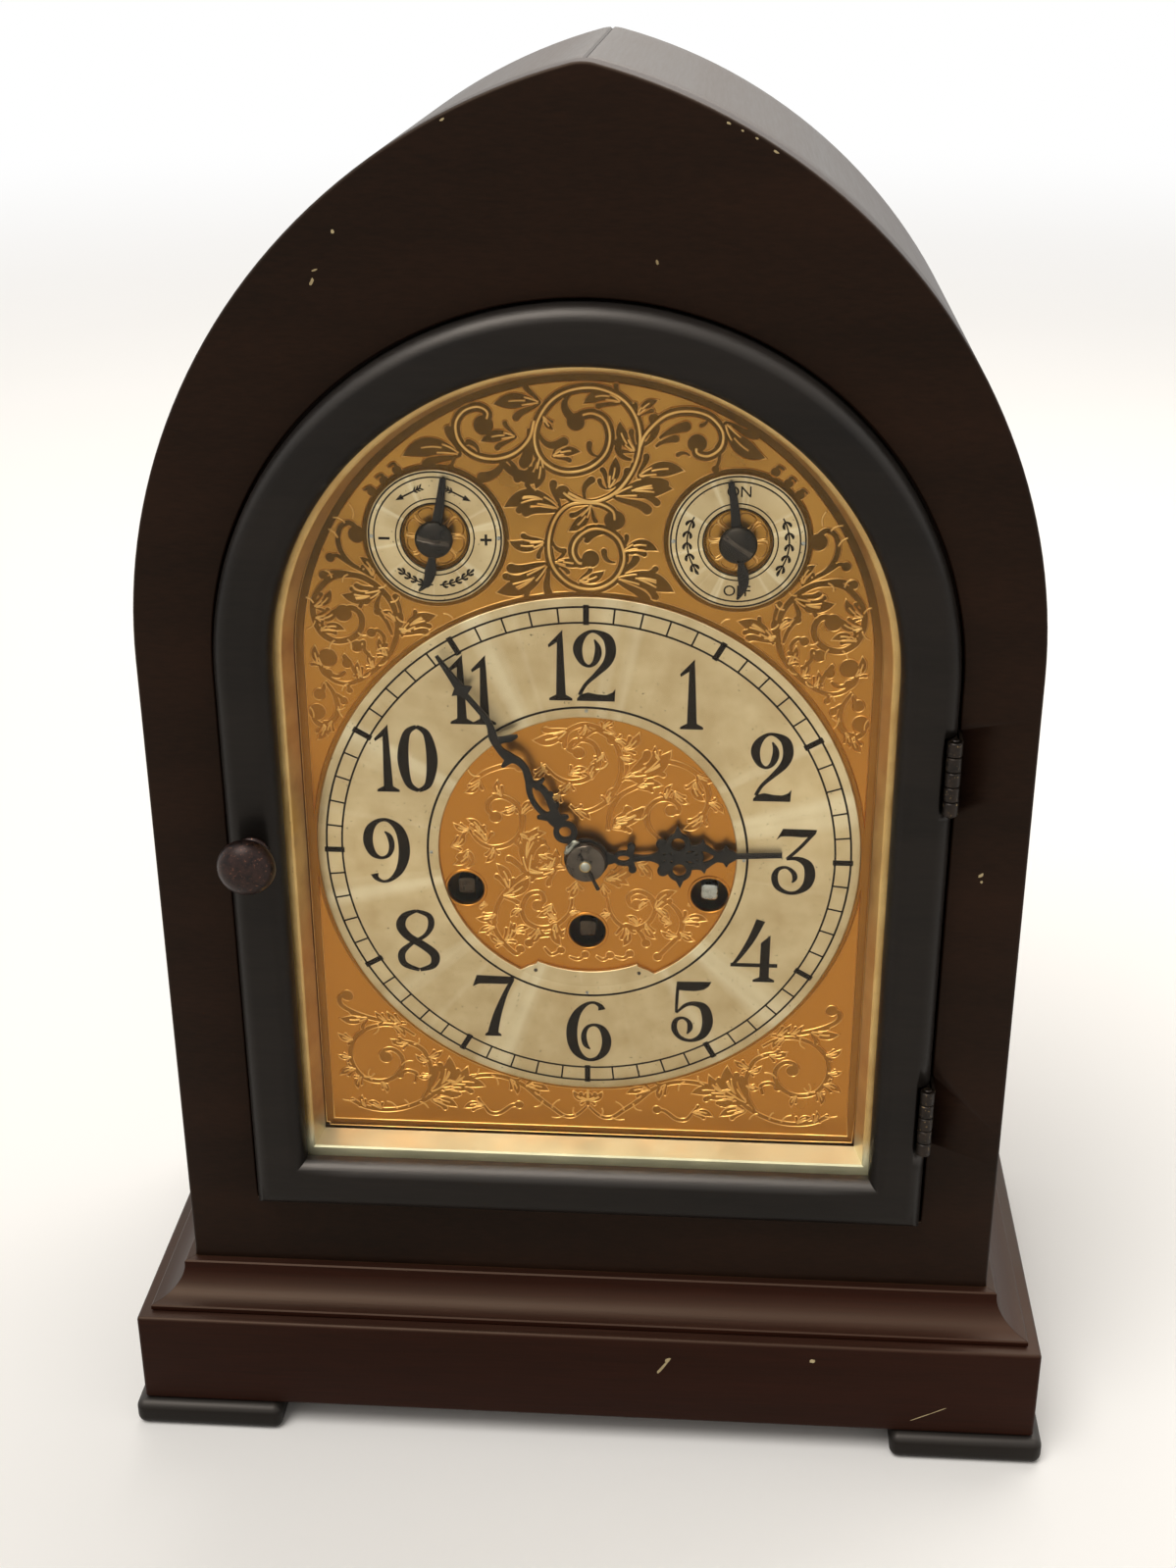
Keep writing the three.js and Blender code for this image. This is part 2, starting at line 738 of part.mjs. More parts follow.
// Bars, loops and spurs are in hundredths of the hand's length.
function openwork(length, hubOuter, hubInner, bars, loops, spurs) {
  const unit = length / 100;
  const flat = (shape) => plate(shape, 0, handThickness, 8);
  const scaled = (points) => points.map((point) => point.map((value) => value * unit));
  const pieces = [
    rod(hubOuter, 0, handThickness, 24),
    ...bars.map((stations) => flat(bar(scaled(stations)))),
    ...spurs.flatMap(([x, z, tipX, tipZ]) => [1, -1].map((side) => flat(polygon(scaled([
      [0, z - spurHalf],
      [side * x, z - spurHalf],
      [side * tipX, tipZ],
      [side * x, z + spurHalf],
      [0, z + spurHalf],
    ]))))),
    ...scaled(loops).map(([x, z, outer]) => rod(outer, 0, handThickness, 12).translate(x, 0, z)),
  ];
  const hole = (radius, x, z) => rod(radius, -handThickness, 2 * handThickness, 10).translate(x, 0, z);
  const piercings = scaled(loops).map(([x, z, , inner]) => hole(inner, x, z));
  return cut(join(...pieces), rod(hubInner, -handThickness, 2 * handThickness, 20), ...piercings);
}

const spurHalf = 1.7;
const hourFront = ringFront - hourStand - handThickness;
const minuteFront = hourFront - handStep - handThickness;
const colletFront = minuteFront - touchGap - colletThickness;
addPiece('hour_hand', openwork(
  hourLength,
  hourHub,
  hourPipeRadius + touchGap,
  [
    [[10.8, 4.3], [18.5, 4.9], [23.7, 2.8], [34.5, 2], [38.5, 4.7], [43.4, 3.2], [59.2, 4.7], [65.1, 3.7]],
    [[64.1, 3.9], [71, 4.3], [76.9, 1.6], [100, 0.9]],
  ],
  [[0, 19.3, 5.3, 2.6], [9.1, 47.3, 5.9, 3.7], [-9.1, 47.3, 5.9, 3.7], [0, 63.5, 4.5, 2.2]],
  [[3, 22.3, 7.3, 23.7], [4.7, 37.5, 9.9, 36.7], [4.3, 59.2, 9.1, 60.4], [3.2, 71.8, 5.9, 70.2]],
), 'blued', [0, hourFront, dialCentre], hourAngle);
addPiece('minute_hand', openwork(
  minuteLength,
  minuteHub,
  cannonRadius + touchGap,
  [
    [[5.9, 2.7], [12.2, 3.4], [17.1, 3.9], [20.1, 1.9], [23.8, 3.6], [31.2, 2.8], [35.7, 1.9]],
    [[34.9, 2.1], [44.6, 1.6], [50.5, 2.5], [59.4, 1.5], [64.6, 2.2], [69.8, 1.1], [86.2, 0.9], [89.9, 1.9],
      [92.1, 1], [100, 0.6]],
  ],
  [[0, 12.5, 3.9, 2.2], [0, 25.9, 4.3, 2.2]],
  [[3, 17.8, 5.9, 16.9], [1.8, 36.4, 4.2, 37.7], [1.8, 50.5, 4.9, 49], [1.8, 63.9, 5.3, 65.4],
    [1, 88.9, 3.6, 88]],
), 'blued', [0, minuteFront, dialCentre], minuteAngle);

const pinRadius = 0.4;
const collet = cut(
  turned([
    [0, 0],
    [colletRadius - 1.5, 0],
    [colletRadius, colletThickness * 0.6],
    [colletRadius, colletThickness],
    [0, colletThickness],
  ], 24),
  rod(arborRadius + touchGap, -1, colletThickness + 1, 14),
);
addPiece('hand_collet', collet, 'blued', [0, colletFront, dialCentre]);
const arborTip = colletFront - 2 * pinRadius - 2 * pinRadius;
const pinY = colletFront - pinRadius - touchGap;
const pinAngle = THREE.MathUtils.degToRad(-26);
const crossPin = (radius, low, high) => rod(radius, low, high, 10).rotateX(Math.PI / 2);
addPiece('taper_pin', crossPin(pinRadius, -colletRadius, colletRadius - 1), 'steel', [
  0, pinY, dialCentre,
], pinAngle);

// Pointers: a leaf blade under a slotted head, on an arbor through the plate.
function pointer() {
  const blade = new THREE.Shape();
  blade.moveTo(0, pointerLength);
  blade.quadraticCurveTo(pointerWidth * 0.2, pointerLength * 0.6, pointerWidth / 2, pointerLength * 0.3);
  blade.lineTo(pointerWidth / 2, 0);
  blade.lineTo(pointerWidth * 0.3, -pointerTail * 0.5);
  blade.quadraticCurveTo(pointerWidth * 0.9, -pointerTail * 0.8, 0, -pointerTail);
  blade.quadraticCurveTo(-pointerWidth * 0.9, -pointerTail * 0.8, -pointerWidth * 0.3, -pointerTail * 0.5);
  blade.lineTo(-pointerWidth / 2, 0);
  blade.lineTo(-pointerWidth / 2, pointerLength * 0.3);
  blade.quadraticCurveTo(-pointerWidth * 0.2, pointerLength * 0.6, 0, pointerLength);
  const headDepth = 2;
  const slotHalf = 0.5;
  const body = join(
    plate(blade, 0, handThickness, 6),
    turned([[0, -headDepth], [pointerHead - 1, -headDepth], [pointerHead, -headDepth / 2], [pointerHead, 0.2], [0, 0.2]]),
    rod(pointerArbor, 0, dialBack - ringFront + 4, 10),
  );
  return cut(body, box([-pointerHead, -headDepth - 1, -slotHalf], [pointerHead, -headDepth * 0.55, slotHalf]));
}

const pointerFront = ringFront - hourStand - handThickness;
addPiece('regulator_pointer', pointer(), 'blued', [-subSide, pointerFront, dialCentre + subRise], regulatorAngle);
addPiece('silence_pointer', pointer(), 'blued', [subSide, pointerFront, dialCentre + subRise], silenceAngle);

// Gears with slim teeth, so that meshed wheels keep backlash at every angle.
function gearOutline(teeth, module, phase) {
  const pitch = (2 * Math.PI) / teeth;
  const tip = module * (teeth / 2 + 0.75);
  const root = module * (teeth / 2 - 0.95);
  const points = [];
  for (let i = 0; i < teeth; i++) {
    const angle = phase + i * pitch;
    for (const [radius, share] of [[root, -0.22], [tip, 0], [root, 0.22]]) {
      points.push([radius * Math.cos(angle + share * pitch), radius * Math.sin(angle + share * pitch)]);
    }
  }
  return polygon(points);
}

function gear(teeth, module, phase, front, back) {
  return plate(gearOutline(teeth, module, phase), front, back);
}

// Phase that sets a space of the second gear over a tooth of the first, in a direction from the first.
function meshPhase(firstPhase, firstTeeth, secondTeeth, direction) {
  return direction + Math.PI + (direction - firstPhase) * firstTeeth / secondTeeth + Math.PI / secondTeeth;
}

// Motion work between dial and front plate: cannon pinion, minute wheel on its stud, hour wheel and pipe.
const motionDirection = Math.PI / 4;
const firstMotionModule = 2 * motionDistance / (cannonTeeth + minuteTeeth);
const secondMotionModule = 2 * motionDistance / (minutePinionTeeth + hourTeeth);
const cannonBack = frontPlateY - runningGap;
const cannonFront = cannonBack - motionWheel;
const hourWheelBack = cannonFront - runningGap;
const hourWheelFront = hourWheelBack - motionWheel;
const minuteX = motionDistance * Math.cos(motionDirection);
const minuteZ = motionDistance * Math.sin(motionDirection);
const stud = { x: minuteX, z: dialCentre + minuteZ };
const studRadius = 1.2;
addPiece('cannon_pinion', cut(
  join(
    gear(cannonTeeth, firstMotionModule, 0, cannonFront, cannonBack),
    rod(cannonRadius, minuteFront, cannonFront + touchGap, 20),
  ),
  rod(arborRadius + touchGap, minuteFront - 1, cannonBack + 1, 16),
), 'steel', [0, 0, dialCentre]);
const minutePhase = meshPhase(0, cannonTeeth, minuteTeeth, motionDirection);
const minutePinionPhase = minutePhase;
addPiece('minute_wheel', cut(
  join(
    gear(minuteTeeth, firstMotionModule, minutePhase, cannonFront, cannonBack),
    gear(minutePinionTeeth, secondMotionModule, minutePinionPhase, hourWheelFront, cannonFront + touchGap),
  ),
  rod(studRadius + runningGap, hourWheelFront - 1, cannonBack + 1, 14),
), 'brass', [stud.x, 0, stud.z]);
const hourPhase = meshPhase(minutePinionPhase, minutePinionTeeth, hourTeeth, motionDirection + Math.PI);
addPiece('hour_wheel', cut(
  join(
    gear(hourTeeth, secondMotionModule, hourPhase, hourWheelFront, hourWheelBack),
    rod(hourPipeRadius, hourFront, hourWheelFront + touchGap, 20),
  ),
  rod(cannonRadius + runningGap, hourFront - 1, hourWheelBack + 1, 20),
), 'brass', [0, 0, dialCentre]);

// Going train, from the back plate forwards: places are [x, height] from the dial centre.
const centrePhase = Math.PI / 2;
const thirdDistance = centreModule * (wheelTeeth + pinionTeeth) / 2;
const thirdDirection = THREE.MathUtils.degToRad(130);
const third = [thirdDistance * Math.cos(thirdDirection), thirdDistance * Math.sin(thirdDirection)];
const escapeDistance = thirdModule * (wheelTeeth + pinionTeeth) / 2;
const escape = [0, third[1] + Math.sqrt(escapeDistance ** 2 - third[0] ** 2)];
const escapeDirection = Math.atan2(escape[1] - third[1], escape[0] - third[0]);
const anchor = [0, escape[1] + anchorReach];
const greatModule = 2 * windingDrop / (greatTeeth + pinionTeeth);
const drumFront = frontPlateBack + 4.5;
const drumBack = drumFront + drumLength;
const greatFront = drumBack + 3;
const greatBack = greatFront + wheelThickness;
const centreWheelFront = greatBack + 3;
const centreWheelBack = centreWheelFront + wheelThickness;
const thirdWheelFront = drumBack - wheelThickness - 1.5;
const thirdWheelBack = thirdWheelFront + wheelThickness;
const escapeFront = greatFront;
const escapeBack = escapeFront + 1.5;
const pivotEnd = plateThickness + 0.5;

// An arbor between the plates with a pivot through each.
function pivoted(radius, frontEnd = frontPlateY - 0.5) {
  return [
    rod(radius, frontPlateBack + runningGap, backPlateY - runningGap, 14),
    rod(pivotRadius, frontEnd, backPlateY + pivotEnd, 10),
  ];
}

addPiece('centre_wheel', cut(
  join(
    rod(arborRadius, arborTip, backPlateY - runningGap, 14),
    rod(pivotRadius, backPlateY - 1, backPlateY + pivotEnd, 10),
    gear(pinionTeeth, greatModule, -centrePhase, greatFront - 0.5, greatBack + 0.5),
    gear(wheelTeeth, centreModule, 0, centreWheelFront, centreWheelBack),
  ),
  crossPin(pinRadius + touchGap, -2 * arborRadius, 2 * arborRadius).rotateY(pinAngle).translate(0, pinY, 0),
), 'brass', [0, 0, dialCentre]);
const thirdPhase = meshPhase(0, wheelTeeth, pinionTeeth, thirdDirection);
addPiece('third_wheel', join(
  ...pivoted(arborRadius * 0.8),
  gear(pinionTeeth, centreModule, thirdPhase, centreWheelFront - 0.5, centreWheelBack + 0.5),
  gear(wheelTeeth, thirdModule, 0, thirdWheelFront, thirdWheelBack),
), 'brass', [third[0], 0, dialCentre + third[1]]);
const escapePhase = meshPhase(0, wheelTeeth, pinionTeeth, escapeDirection);
const escapeOutline = [];
for (let i = 0; i < escapeTeeth; i++) {
  const angle = (2 * Math.PI * i) / escapeTeeth;
  const pitch = (2 * Math.PI) / escapeTeeth;
  for (const [radius, share] of [[escapeRadius - 2.6, 0], [escapeRadius, 0.1], [escapeRadius - 2.6, 0.55]]) {
    escapeOutline.push([radius * Math.cos(angle + share * pitch), radius * Math.sin(angle + share * pitch)]);
  }
}
addPiece('escape_wheel', join(
  ...pivoted(arborRadius * 0.7),
  gear(pinionTeeth, thirdModule, escapePhase, thirdWheelFront - 0.5, thirdWheelBack + 0.5),
  plate(polygon(escapeOutline), escapeFront, escapeBack),
), 'brass', [escape[0], 0, dialCentre + escape[1]]);

// Three going barrels on their winding arbors; the time barrel carries the great wheel behind its drum.
const barrelBore = windingRadius + runningGap;
const greatPhase = meshPhase(-centrePhase, pinionTeeth, greatTeeth, -centrePhase);
const drum = (end) => rod(drumRadius, drumFront, end, 20);
const boreTool = rod(barrelBore, drumFront - 5, greatBack + 5, 18);
const sideModule = sideWheelRadius / (sideTeeth / 2 + 0.75);
const barrels = {
  strike: join(drum(drumBack), gear(sideTeeth, sideModule, 0, drumFront - wheelThickness, drumFront + touchGap)),
  time: join(drum(greatFront + touchGap), gear(greatTeeth, greatModule, greatPhase, greatFront, greatBack)),
  chime: join(drum(drumBack), gear(sideTeeth, sideModule, 0, drumFront - wheelThickness, drumFront + touchGap)),
};
const squareHalf = squareSide / 2;
const windingArbor = join(
  rod(windingRadius, frontPlateY - 1, backPlateY - runningGap, 18),
  rod(pivotRadius * 1.5, backPlateY - 1, backPlateY + pivotEnd, 12),
  box(
    [-squareHalf, dialFront + arborEndRecess, -squareHalf],
    [squareHalf, frontPlateY - runningGap, squareHalf],
  ),
);
for (const [train, [x, drop]] of Object.entries(windingPlaces)) {
  addPiece(`${train}_barrel`, cut(barrels[train], boreTool), 'brass', [x, 0, dialCentre + drop]);
  addPiece(`${train}_winding_arbor`, windingArbor, 'steel', [x, 0, dialCentre + drop]);
}

// Plates: the front one carries the minute wheel's stud, the back one the pillars and the hammer post.
const pillars = [[-1, -pillarLow], [1, -pillarLow], [-1, pillarHigh], [1, pillarHigh]];
const plateBox = (front) => box(
  [-plateHalf, front, plateBottom],
  [plateHalf, front + plateThickness, dialCentre + plateAbove],
);
const pivotHole = pivotRadius + 0.3;
const plateHoles = [
  hole(third[0], dialCentre + third[1], pivotHole, 10),
  hole(escape[0], dialCentre + escape[1], pivotHole, 10),
  hole(anchor[0], dialCentre + anchor[1], arborRadius + runningGap, 12),
];
addPiece('front_plate', cut(
  join(plateBox(frontPlateY), rod(studRadius, hourWheelFront, frontPlateBack, 12).translate(stud.x, 0, stud.z)),
  ...plateHoles,
  hole(0, dialCentre, arborRadius + runningGap, 14),
  ...Object.values(windingPlaces).map(([x, drop]) => hole(x, dialCentre + drop, windingRadius + runningGap, 18)),
), 'brass');
const hammerSpan = hammerFirst + hammerPitch * (hammerCount - 1) + hammerThickness;
addPiece('back_plate', cut(
  join(
    plateBox(backPlateY),
    ...pillars.map(([side, rise]) => rod(
      pillarRadius,
      frontPlateBack + touchGap,
      backPlateY + 0.5,
      12,
    ).translate(side * pillarSide, 0, dialCentre + rise)),
    rod(hammerPost, backPlateY + 0.5, backPlateBack + hammerSpan, 12)
      .translate(hammerPivotSide, 0, dialCentre - hammerPivotDrop),
  ),
  ...plateHoles,
  hole(0, dialCentre, pivotHole, 10),
  ...Object.values(windingPlaces).map(([x, drop]) => hole(x, dialCentre + drop, pivotRadius * 1.5 + 0.3, 12)),
), 'brass');

// Anchor and pendulum swing together about the anchor's arbor; the pallets stand clear of the escape wheel.
const pendulumY = backPlateBack + pendulumStand;
const palletRadius = escapeRadius + palletClearance;
const palletAngle = THREE.MathUtils.degToRad(45);
const anchorShape = new THREE.Shape();
anchorShape.absarc(0, -anchorReach, palletRadius, Math.PI / 2 + palletAngle, Math.PI / 2 - palletAngle, true);
anchorShape.absarc(0, -anchorReach, palletRadius + 2, Math.PI / 2 - palletAngle, Math.PI / 2 + palletAngle, false);
const crutchY = pendulumY - crutchStand;
addPiece('pallet_anchor', join(
  plate(anchorShape, escapeFront, escapeBack, 10),
  rod(arborRadius, frontPlateY - 0.5, crutchY + crutchThickness, 12),
  rod(arborRadius * 2, escapeFront, escapeBack, 14),
  box([-crutchWidth / 2, crutchY, -crutchLength], [crutchWidth / 2, crutchY + crutchThickness, 0]),
), 'steel', [anchor[0], 0, dialCentre + anchor[1]]);
const nutDrop = bobDrop + bobRadius + 4;
addPiece('pendulum_rod', join(
  box([-rodWidth / 2, -rodThickness / 2, -nutDrop - 4], [rodWidth / 2, rodThickness / 2, 2]),
  box([-3.5, -1.8, -2], [3.5, 1.8, 2.5]),
  rod(rodWidth / 2, crutchY + crutchThickness + touchGap - pendulumY, 0, 10).translate(0, 0, crutchWidth - crutchLength),
  rod(4, -2, 2, 14).rotateX(Math.PI / 2).translate(0, 0, -nutDrop),
), 'brass', [anchor[0], pendulumY, dialCentre + anchor[1]]);
addPiece('pendulum_bob', cut(
  turned([
    [0, -bobThickness / 2],
    [bobRadius * 0.6, -bobThickness * 0.36],
    [bobRadius, 0],
    [bobRadius * 0.6, bobThickness * 0.36],
    [0, bobThickness / 2],
  ], 28),
  box(
    [-rodWidth / 2 - touchGap, -rodThickness / 2 - touchGap, -bobRadius - 1],
    [rodWidth / 2 + touchGap, rodThickness / 2 + touchGap, bobRadius + 1],
  ),
), 'brass', [anchor[0], pendulumY, dialCentre + anchor[1] - bobDrop]);
const cockHalf = 6;
const cockRise = 3.4;
addPiece('suspension_cock', box(
  [-cockHalf, backPlateBack + touchGap, cockRise],
  [cockHalf, pendulumY + 4, cockRise + 5],
), 'brass', [anchor[0], 0, dialCentre + anchor[1]]);

// Chime: four hammers on the post, leaning towards upright rods in a block on the base board.
const hammerPivotZ = dialCentre - hammerPivotDrop;
const headX = hammerPivotSide + hammerLean;
const rodX = headX + hammerHead / 2 + strikeGap + chimeRodRadius;
const hammerHub = hammerPost + 3;
for (let i = 0; i < hammerCount; i++) {
  const y = backPlateBack + hammerFirst + hammerPitch * i;
  const half = hammerThickness / 2;
  const arm = polygon([[-1.2, 0], [1.2, 0], [hammerLean + 1.2, hammerReach], [hammerLean - 1.2, hammerReach]]);
  const head = [hammerLean - hammerHead / 2, hammerLean + hammerHead / 2];
  addPiece(`chime_hammer_${i + 1}`, cut(
    join(
      rod(hammerHub, -half, half, 14),
      plate(arm, -half / 2, half / 2),
      box([head[0], -half, hammerReach - 4], [head[1], half, hammerReach + 4]),
    ),
    rod(hammerPost + runningGap, -half - 1, half + 1, 12),
  ), 'brass', [hammerPivotSide, y, hammerPivotZ]);
}
const firstHammerY = backPlateBack + hammerFirst;
const lastHammerY = firstHammerY + hammerPitch * (hammerCount - 1);
const blockBottom = caseBottom + touchGap;
const rodTop = blockBottom + chimeBlockHeight + chimeRodLength;
const chimeRods = [];
for (let i = 0; i < hammerCount; i++) {
  chimeRods.push(rod(chimeRodRadius, -rodTop, -blockBottom - chimeBlockHeight + 1, 8)
    .rotateX(-Math.PI / 2)
    .translate(rodX, firstHammerY + hammerPitch * i, 0));
}
addPiece('chime_rods', join(
  box(
    [rodX - chimeBlockSide / 2, firstHammerY - hammerPitch / 2, blockBottom],
    [rodX + chimeBlockSide / 2, lastHammerY + hammerPitch / 2, blockBottom + chimeBlockHeight],
  ),
  ...chimeRods,
), 'iron');

export default clock;
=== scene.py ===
import json
import math
import random
import bmesh
import bpy
from mathutils import Matrix, Vector, geometry

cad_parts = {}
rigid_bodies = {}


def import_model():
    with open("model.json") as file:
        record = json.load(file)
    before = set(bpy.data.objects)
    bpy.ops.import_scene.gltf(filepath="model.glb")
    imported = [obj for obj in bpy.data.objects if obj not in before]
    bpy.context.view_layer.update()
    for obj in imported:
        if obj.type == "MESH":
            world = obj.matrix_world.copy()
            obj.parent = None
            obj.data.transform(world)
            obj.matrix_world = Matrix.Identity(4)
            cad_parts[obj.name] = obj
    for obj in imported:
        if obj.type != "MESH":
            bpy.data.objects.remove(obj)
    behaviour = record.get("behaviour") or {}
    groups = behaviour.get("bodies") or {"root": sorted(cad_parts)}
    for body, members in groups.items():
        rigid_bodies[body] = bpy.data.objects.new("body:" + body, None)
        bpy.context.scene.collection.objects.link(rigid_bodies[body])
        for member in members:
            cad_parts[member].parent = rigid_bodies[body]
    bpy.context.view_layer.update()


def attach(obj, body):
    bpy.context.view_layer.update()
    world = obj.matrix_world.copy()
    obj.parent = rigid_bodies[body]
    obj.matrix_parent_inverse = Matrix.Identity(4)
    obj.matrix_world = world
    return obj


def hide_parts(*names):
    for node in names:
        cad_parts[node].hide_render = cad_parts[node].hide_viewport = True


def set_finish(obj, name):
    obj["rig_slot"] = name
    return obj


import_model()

# Pieces are drawn in millimetres from the case: x right, y back from its front face, z up from the table.
caseFront = -54.2  # where the front face of the case lies in the shared frame
mm = 0.001
sides = (("left", -1), ("right", 1))


def at(x, y, z):
    return Vector((x, y + caseFront, z)) * mm


def linear(code):
    parts = [int(code[i:i + 2], 16) / 255 for i in (1, 3, 5)]
    return [c / 12.92 if c <= 0.04045 else ((c + 0.055) / 1.055) ** 2.4 for c in parts] + [1.0]


def addNode(tree, kind, sockets=None, **settings):
    node = tree.nodes.new(kind)
    for name, value in settings.items():
        setattr(node, name, value)
    for name, value in (sockets or {}).items():
        if isinstance(value, bpy.types.NodeSocket):
            tree.links.new(value, node.inputs[name])
        else:
            node.inputs[name].default_value = value
    return node


def newMaterial(name, constants):
    mat = bpy.data.materials.new(name)
    mat.use_nodes = True
    shader = mat.node_tree.nodes["Principled BSDF"]
    for socket, value in constants.items():
        shader.inputs[socket].default_value = value
    return mat, mat.node_tree, shader


# Short forms for the nodes that the finishes share
def objectPlace(tree):
    return addNode(tree, "ShaderNodeTexCoord").outputs["Object"]


def drawnOut(tree, place, scale):
    return addNode(tree, "ShaderNodeMapping", {"Vector": place, "Scale": scale}).outputs[0]


def noise(tree, place, scale, detail, rough=0.5):
    return addNode(tree, "ShaderNodeTexNoise", {
        "Vector": place, "Scale": scale, "Detail": detail, "Roughness": rough}).outputs["Fac"]


def perGrain(size):  # the noise scale for a grain of this size in millimetres
    return 1 / (size * mm)


def spread(tree, value, low, high, toLow=0.0, toHigh=1.0, **settings):
    return addNode(tree, "ShaderNodeMapRange", {
        "Value": value, "From Min": low, "From Max": high, "To Min": toLow, "To Max": toHigh},
                   **settings).outputs[0]


def blend(tree, share, first, second):
    tones = [tone if isinstance(tone, bpy.types.NodeSocket) else linear(tone) for tone in (first, second)]
    return addNode(tree, "ShaderNodeMix", {0: share, 6: tones[0], 7: tones[1]}, data_type="RGBA").outputs[2]


def sums(tree, operation, *values):
    return addNode(tree, "ShaderNodeMath", dict(enumerate(values)), operation=operation).outputs[0]


def bump(tree, height, strength, depth):
    return addNode(tree, "ShaderNodeBump", {
        "Height": height, "Strength": strength, "Distance": depth * mm}).outputs[0]


def heightOf(tree, vector):
    return addNode(tree, "ShaderNodeSeparateXYZ", {0: vector}).outputs["Z"]


def wire(tree, shader, outputs):
    for socket, value in outputs.items():
        tree.links.new(value, shader.inputs[socket])


def mixedSurface(tree, share, first, second):
    both = addNode(tree, "ShaderNodeMixShader", {0: share, 1: first, 2: second}).outputs[0]
    tree.links.new(both, tree.nodes["Material Output"].inputs["Surface"])


# Wood under a thin finish: drawn-out grain over slow changes of tone, with the pores just felt in the shine.
def woodFinish(name, look):
    mat, tree, shader = newMaterial(name, {
        "Specular Tint": linear(look.get("amber", "#ffffff")),
        "Coat Weight": look["coat"], "Coat Roughness": look["coatRough"]})
    drawn = drawnOut(tree, objectPlace(tree), look["along"])
    fine = noise(tree, drawn, perGrain(look["pore"]), 5, 0.62)
    broad = noise(tree, drawn, perGrain(look["figure"]), 3)
    both = sums(tree, "MULTIPLY_ADD", fine, 0.55, broad)
    upward = heightOf(tree, addNode(tree, "ShaderNodeNewGeometry").outputs["Normal"])
    wire(tree, shader, {
        "Base Color": blend(tree, spread(tree, both, 0.5, 1.05), look["dark"], look["light"]),
        "Roughness": spread(tree, both, 0.4, 1.1, *look["rough"]),
        # tops take more shine than the sides: a painted sheen for the light from overhead
        "Specular IOR Level": spread(tree, upward, 0.2, 0.85, look["shine"], look["topShine"]),
        "Normal": bump(tree, fine, look["felt"], 0.1)})
    return mat


# Worn metal: cloudy tarnish over a base tone, and a scatter of small spots where it has gone further.
def metalFinish(name, look):
    mat, tree, shader = newMaterial(name, {"Metallic": look.get("metal", 1.0),
                                           "Specular IOR Level": look.get("shine", 0.5)})
    place = objectPlace(tree)
    drawn = drawnOut(tree, place, look.get("along", (1, 1, 1)))
    cloud = noise(tree, drawn, perGrain(look["cloud"]), 4, 0.6)
    speck = noise(tree, place, perGrain(look["speck"]), 2, 0.7)
    spots = spread(tree, speck, look["spotFrom"], look["spotFrom"] + 0.1)
    tone = blend(tree, spread(tree, cloud, 0.3, 0.7), look["dark"], look["light"])
    worn = blend(tree, spots, tone, look["spot"])
    # Painted light: the tone shifts with height on the piece, standing in for the reflections that change
    # down the dial and on the sight's sill.
    if "fade" in look:  # the tone changes with height on the piece
        low, high, toned = look["fade"]
        worn = blend(tree, spread(tree, heightOf(tree, place), high * mm, low * mm, 0.0, 0.8), worn, toned)
    wire(tree, shader, {"Base Color": worn, "Roughness": spread(tree, cloud, 0.3, 0.7, *look["rough"]),
                        "Normal": bump(tree, speck, look["felt"], 0.05)})
    return mat


upright, across, inward = (1, 1, 0.04), (0.04, 1, 1), (1, 0.04, 1)

# Dark stain under worn shellac: almost black, a brown warmth only where light catches the grain.
panelLook = {"dark": "#0e0806", "light": "#24150e", "along": (0.22, 1, 1), "pore": 0.8, "figure": 26,
             "shine": 0.13, "topShine": 0.6, "amber": "#e8c8aa", "coat": 0.03, "coatRough": 0.3,
             "rough": (0.4, 0.56), "felt": 0.4}
panelWood = woodFinish("mahogany front, dark satin shellac", panelLook)
# The bent sides take full shine on their upward faces: a painted sheen of the light from overhead.
shellWood = woodFinish("mahogany bent sides, dark satin shellac", dict(
    panelLook, along=inward, shine=0.14, topShine=1.0, amber="#fbe6cf", coat=0.05, felt=0.25))
# The base keeps more of its red, and its grain runs along it.
baseLook = dict(panelLook, dark="#170a06", light="#2f150d", along=across, shine=0.1, coat=0.03)
baseWood = woodFinish("mahogany base, red-brown satin shellac", baseLook)
sideBaseWood = woodFinish("mahogany base returns, red-brown satin shellac", dict(baseLook, along=inward))
# Ebonised wood: a neutral black with a low sheen that shows every round as a soft line; upward rounds take
# full shine, a painted highlight.
# The finish has shrunk into fine level ripples, drawn coarser than they are so that they show.
doorLook = dict(panelLook, dark="#0a0908", light="#191512", along=(0.12, 1, 1), pore=1.3, figure=18,
                rough=(0.34, 0.46), shine=0.18, topShine=1.0, amber="#f6ebe0", coat=0.05, felt=0.8)
doorWood = woodFinish("birch door, ebonised satin", doorLook)
footWood = woodFinish("birch foot, ebonised satin",
                      dict(doorLook, along=across, rough=(0.42, 0.54), topShine=0.6))
# Unfinished inside wood, pale brown and dusty.
pineLook = {"dark": "#3d2819", "light": "#694a30", "along": upright, "pore": 0.9, "figure": 22,
            "shine": 0.15, "topShine": 0.2, "coat": 0.0, "coatRough": 0.5, "rough": (0.6, 0.8), "felt": 0.3}
pineWood = woodFinish("pine board, aged bare", pineLook)
flatPine = woodFinish("pine shelf, aged bare", dict(pineLook, along=across))
# Bare wood under a knocked-off finish, matt and straw coloured.
chipWood = woodFinish("chipped wood, bare",
                      dict(pineLook, dark="#8d7a58", light="#c4b48c", pore=0.3, figure=3))
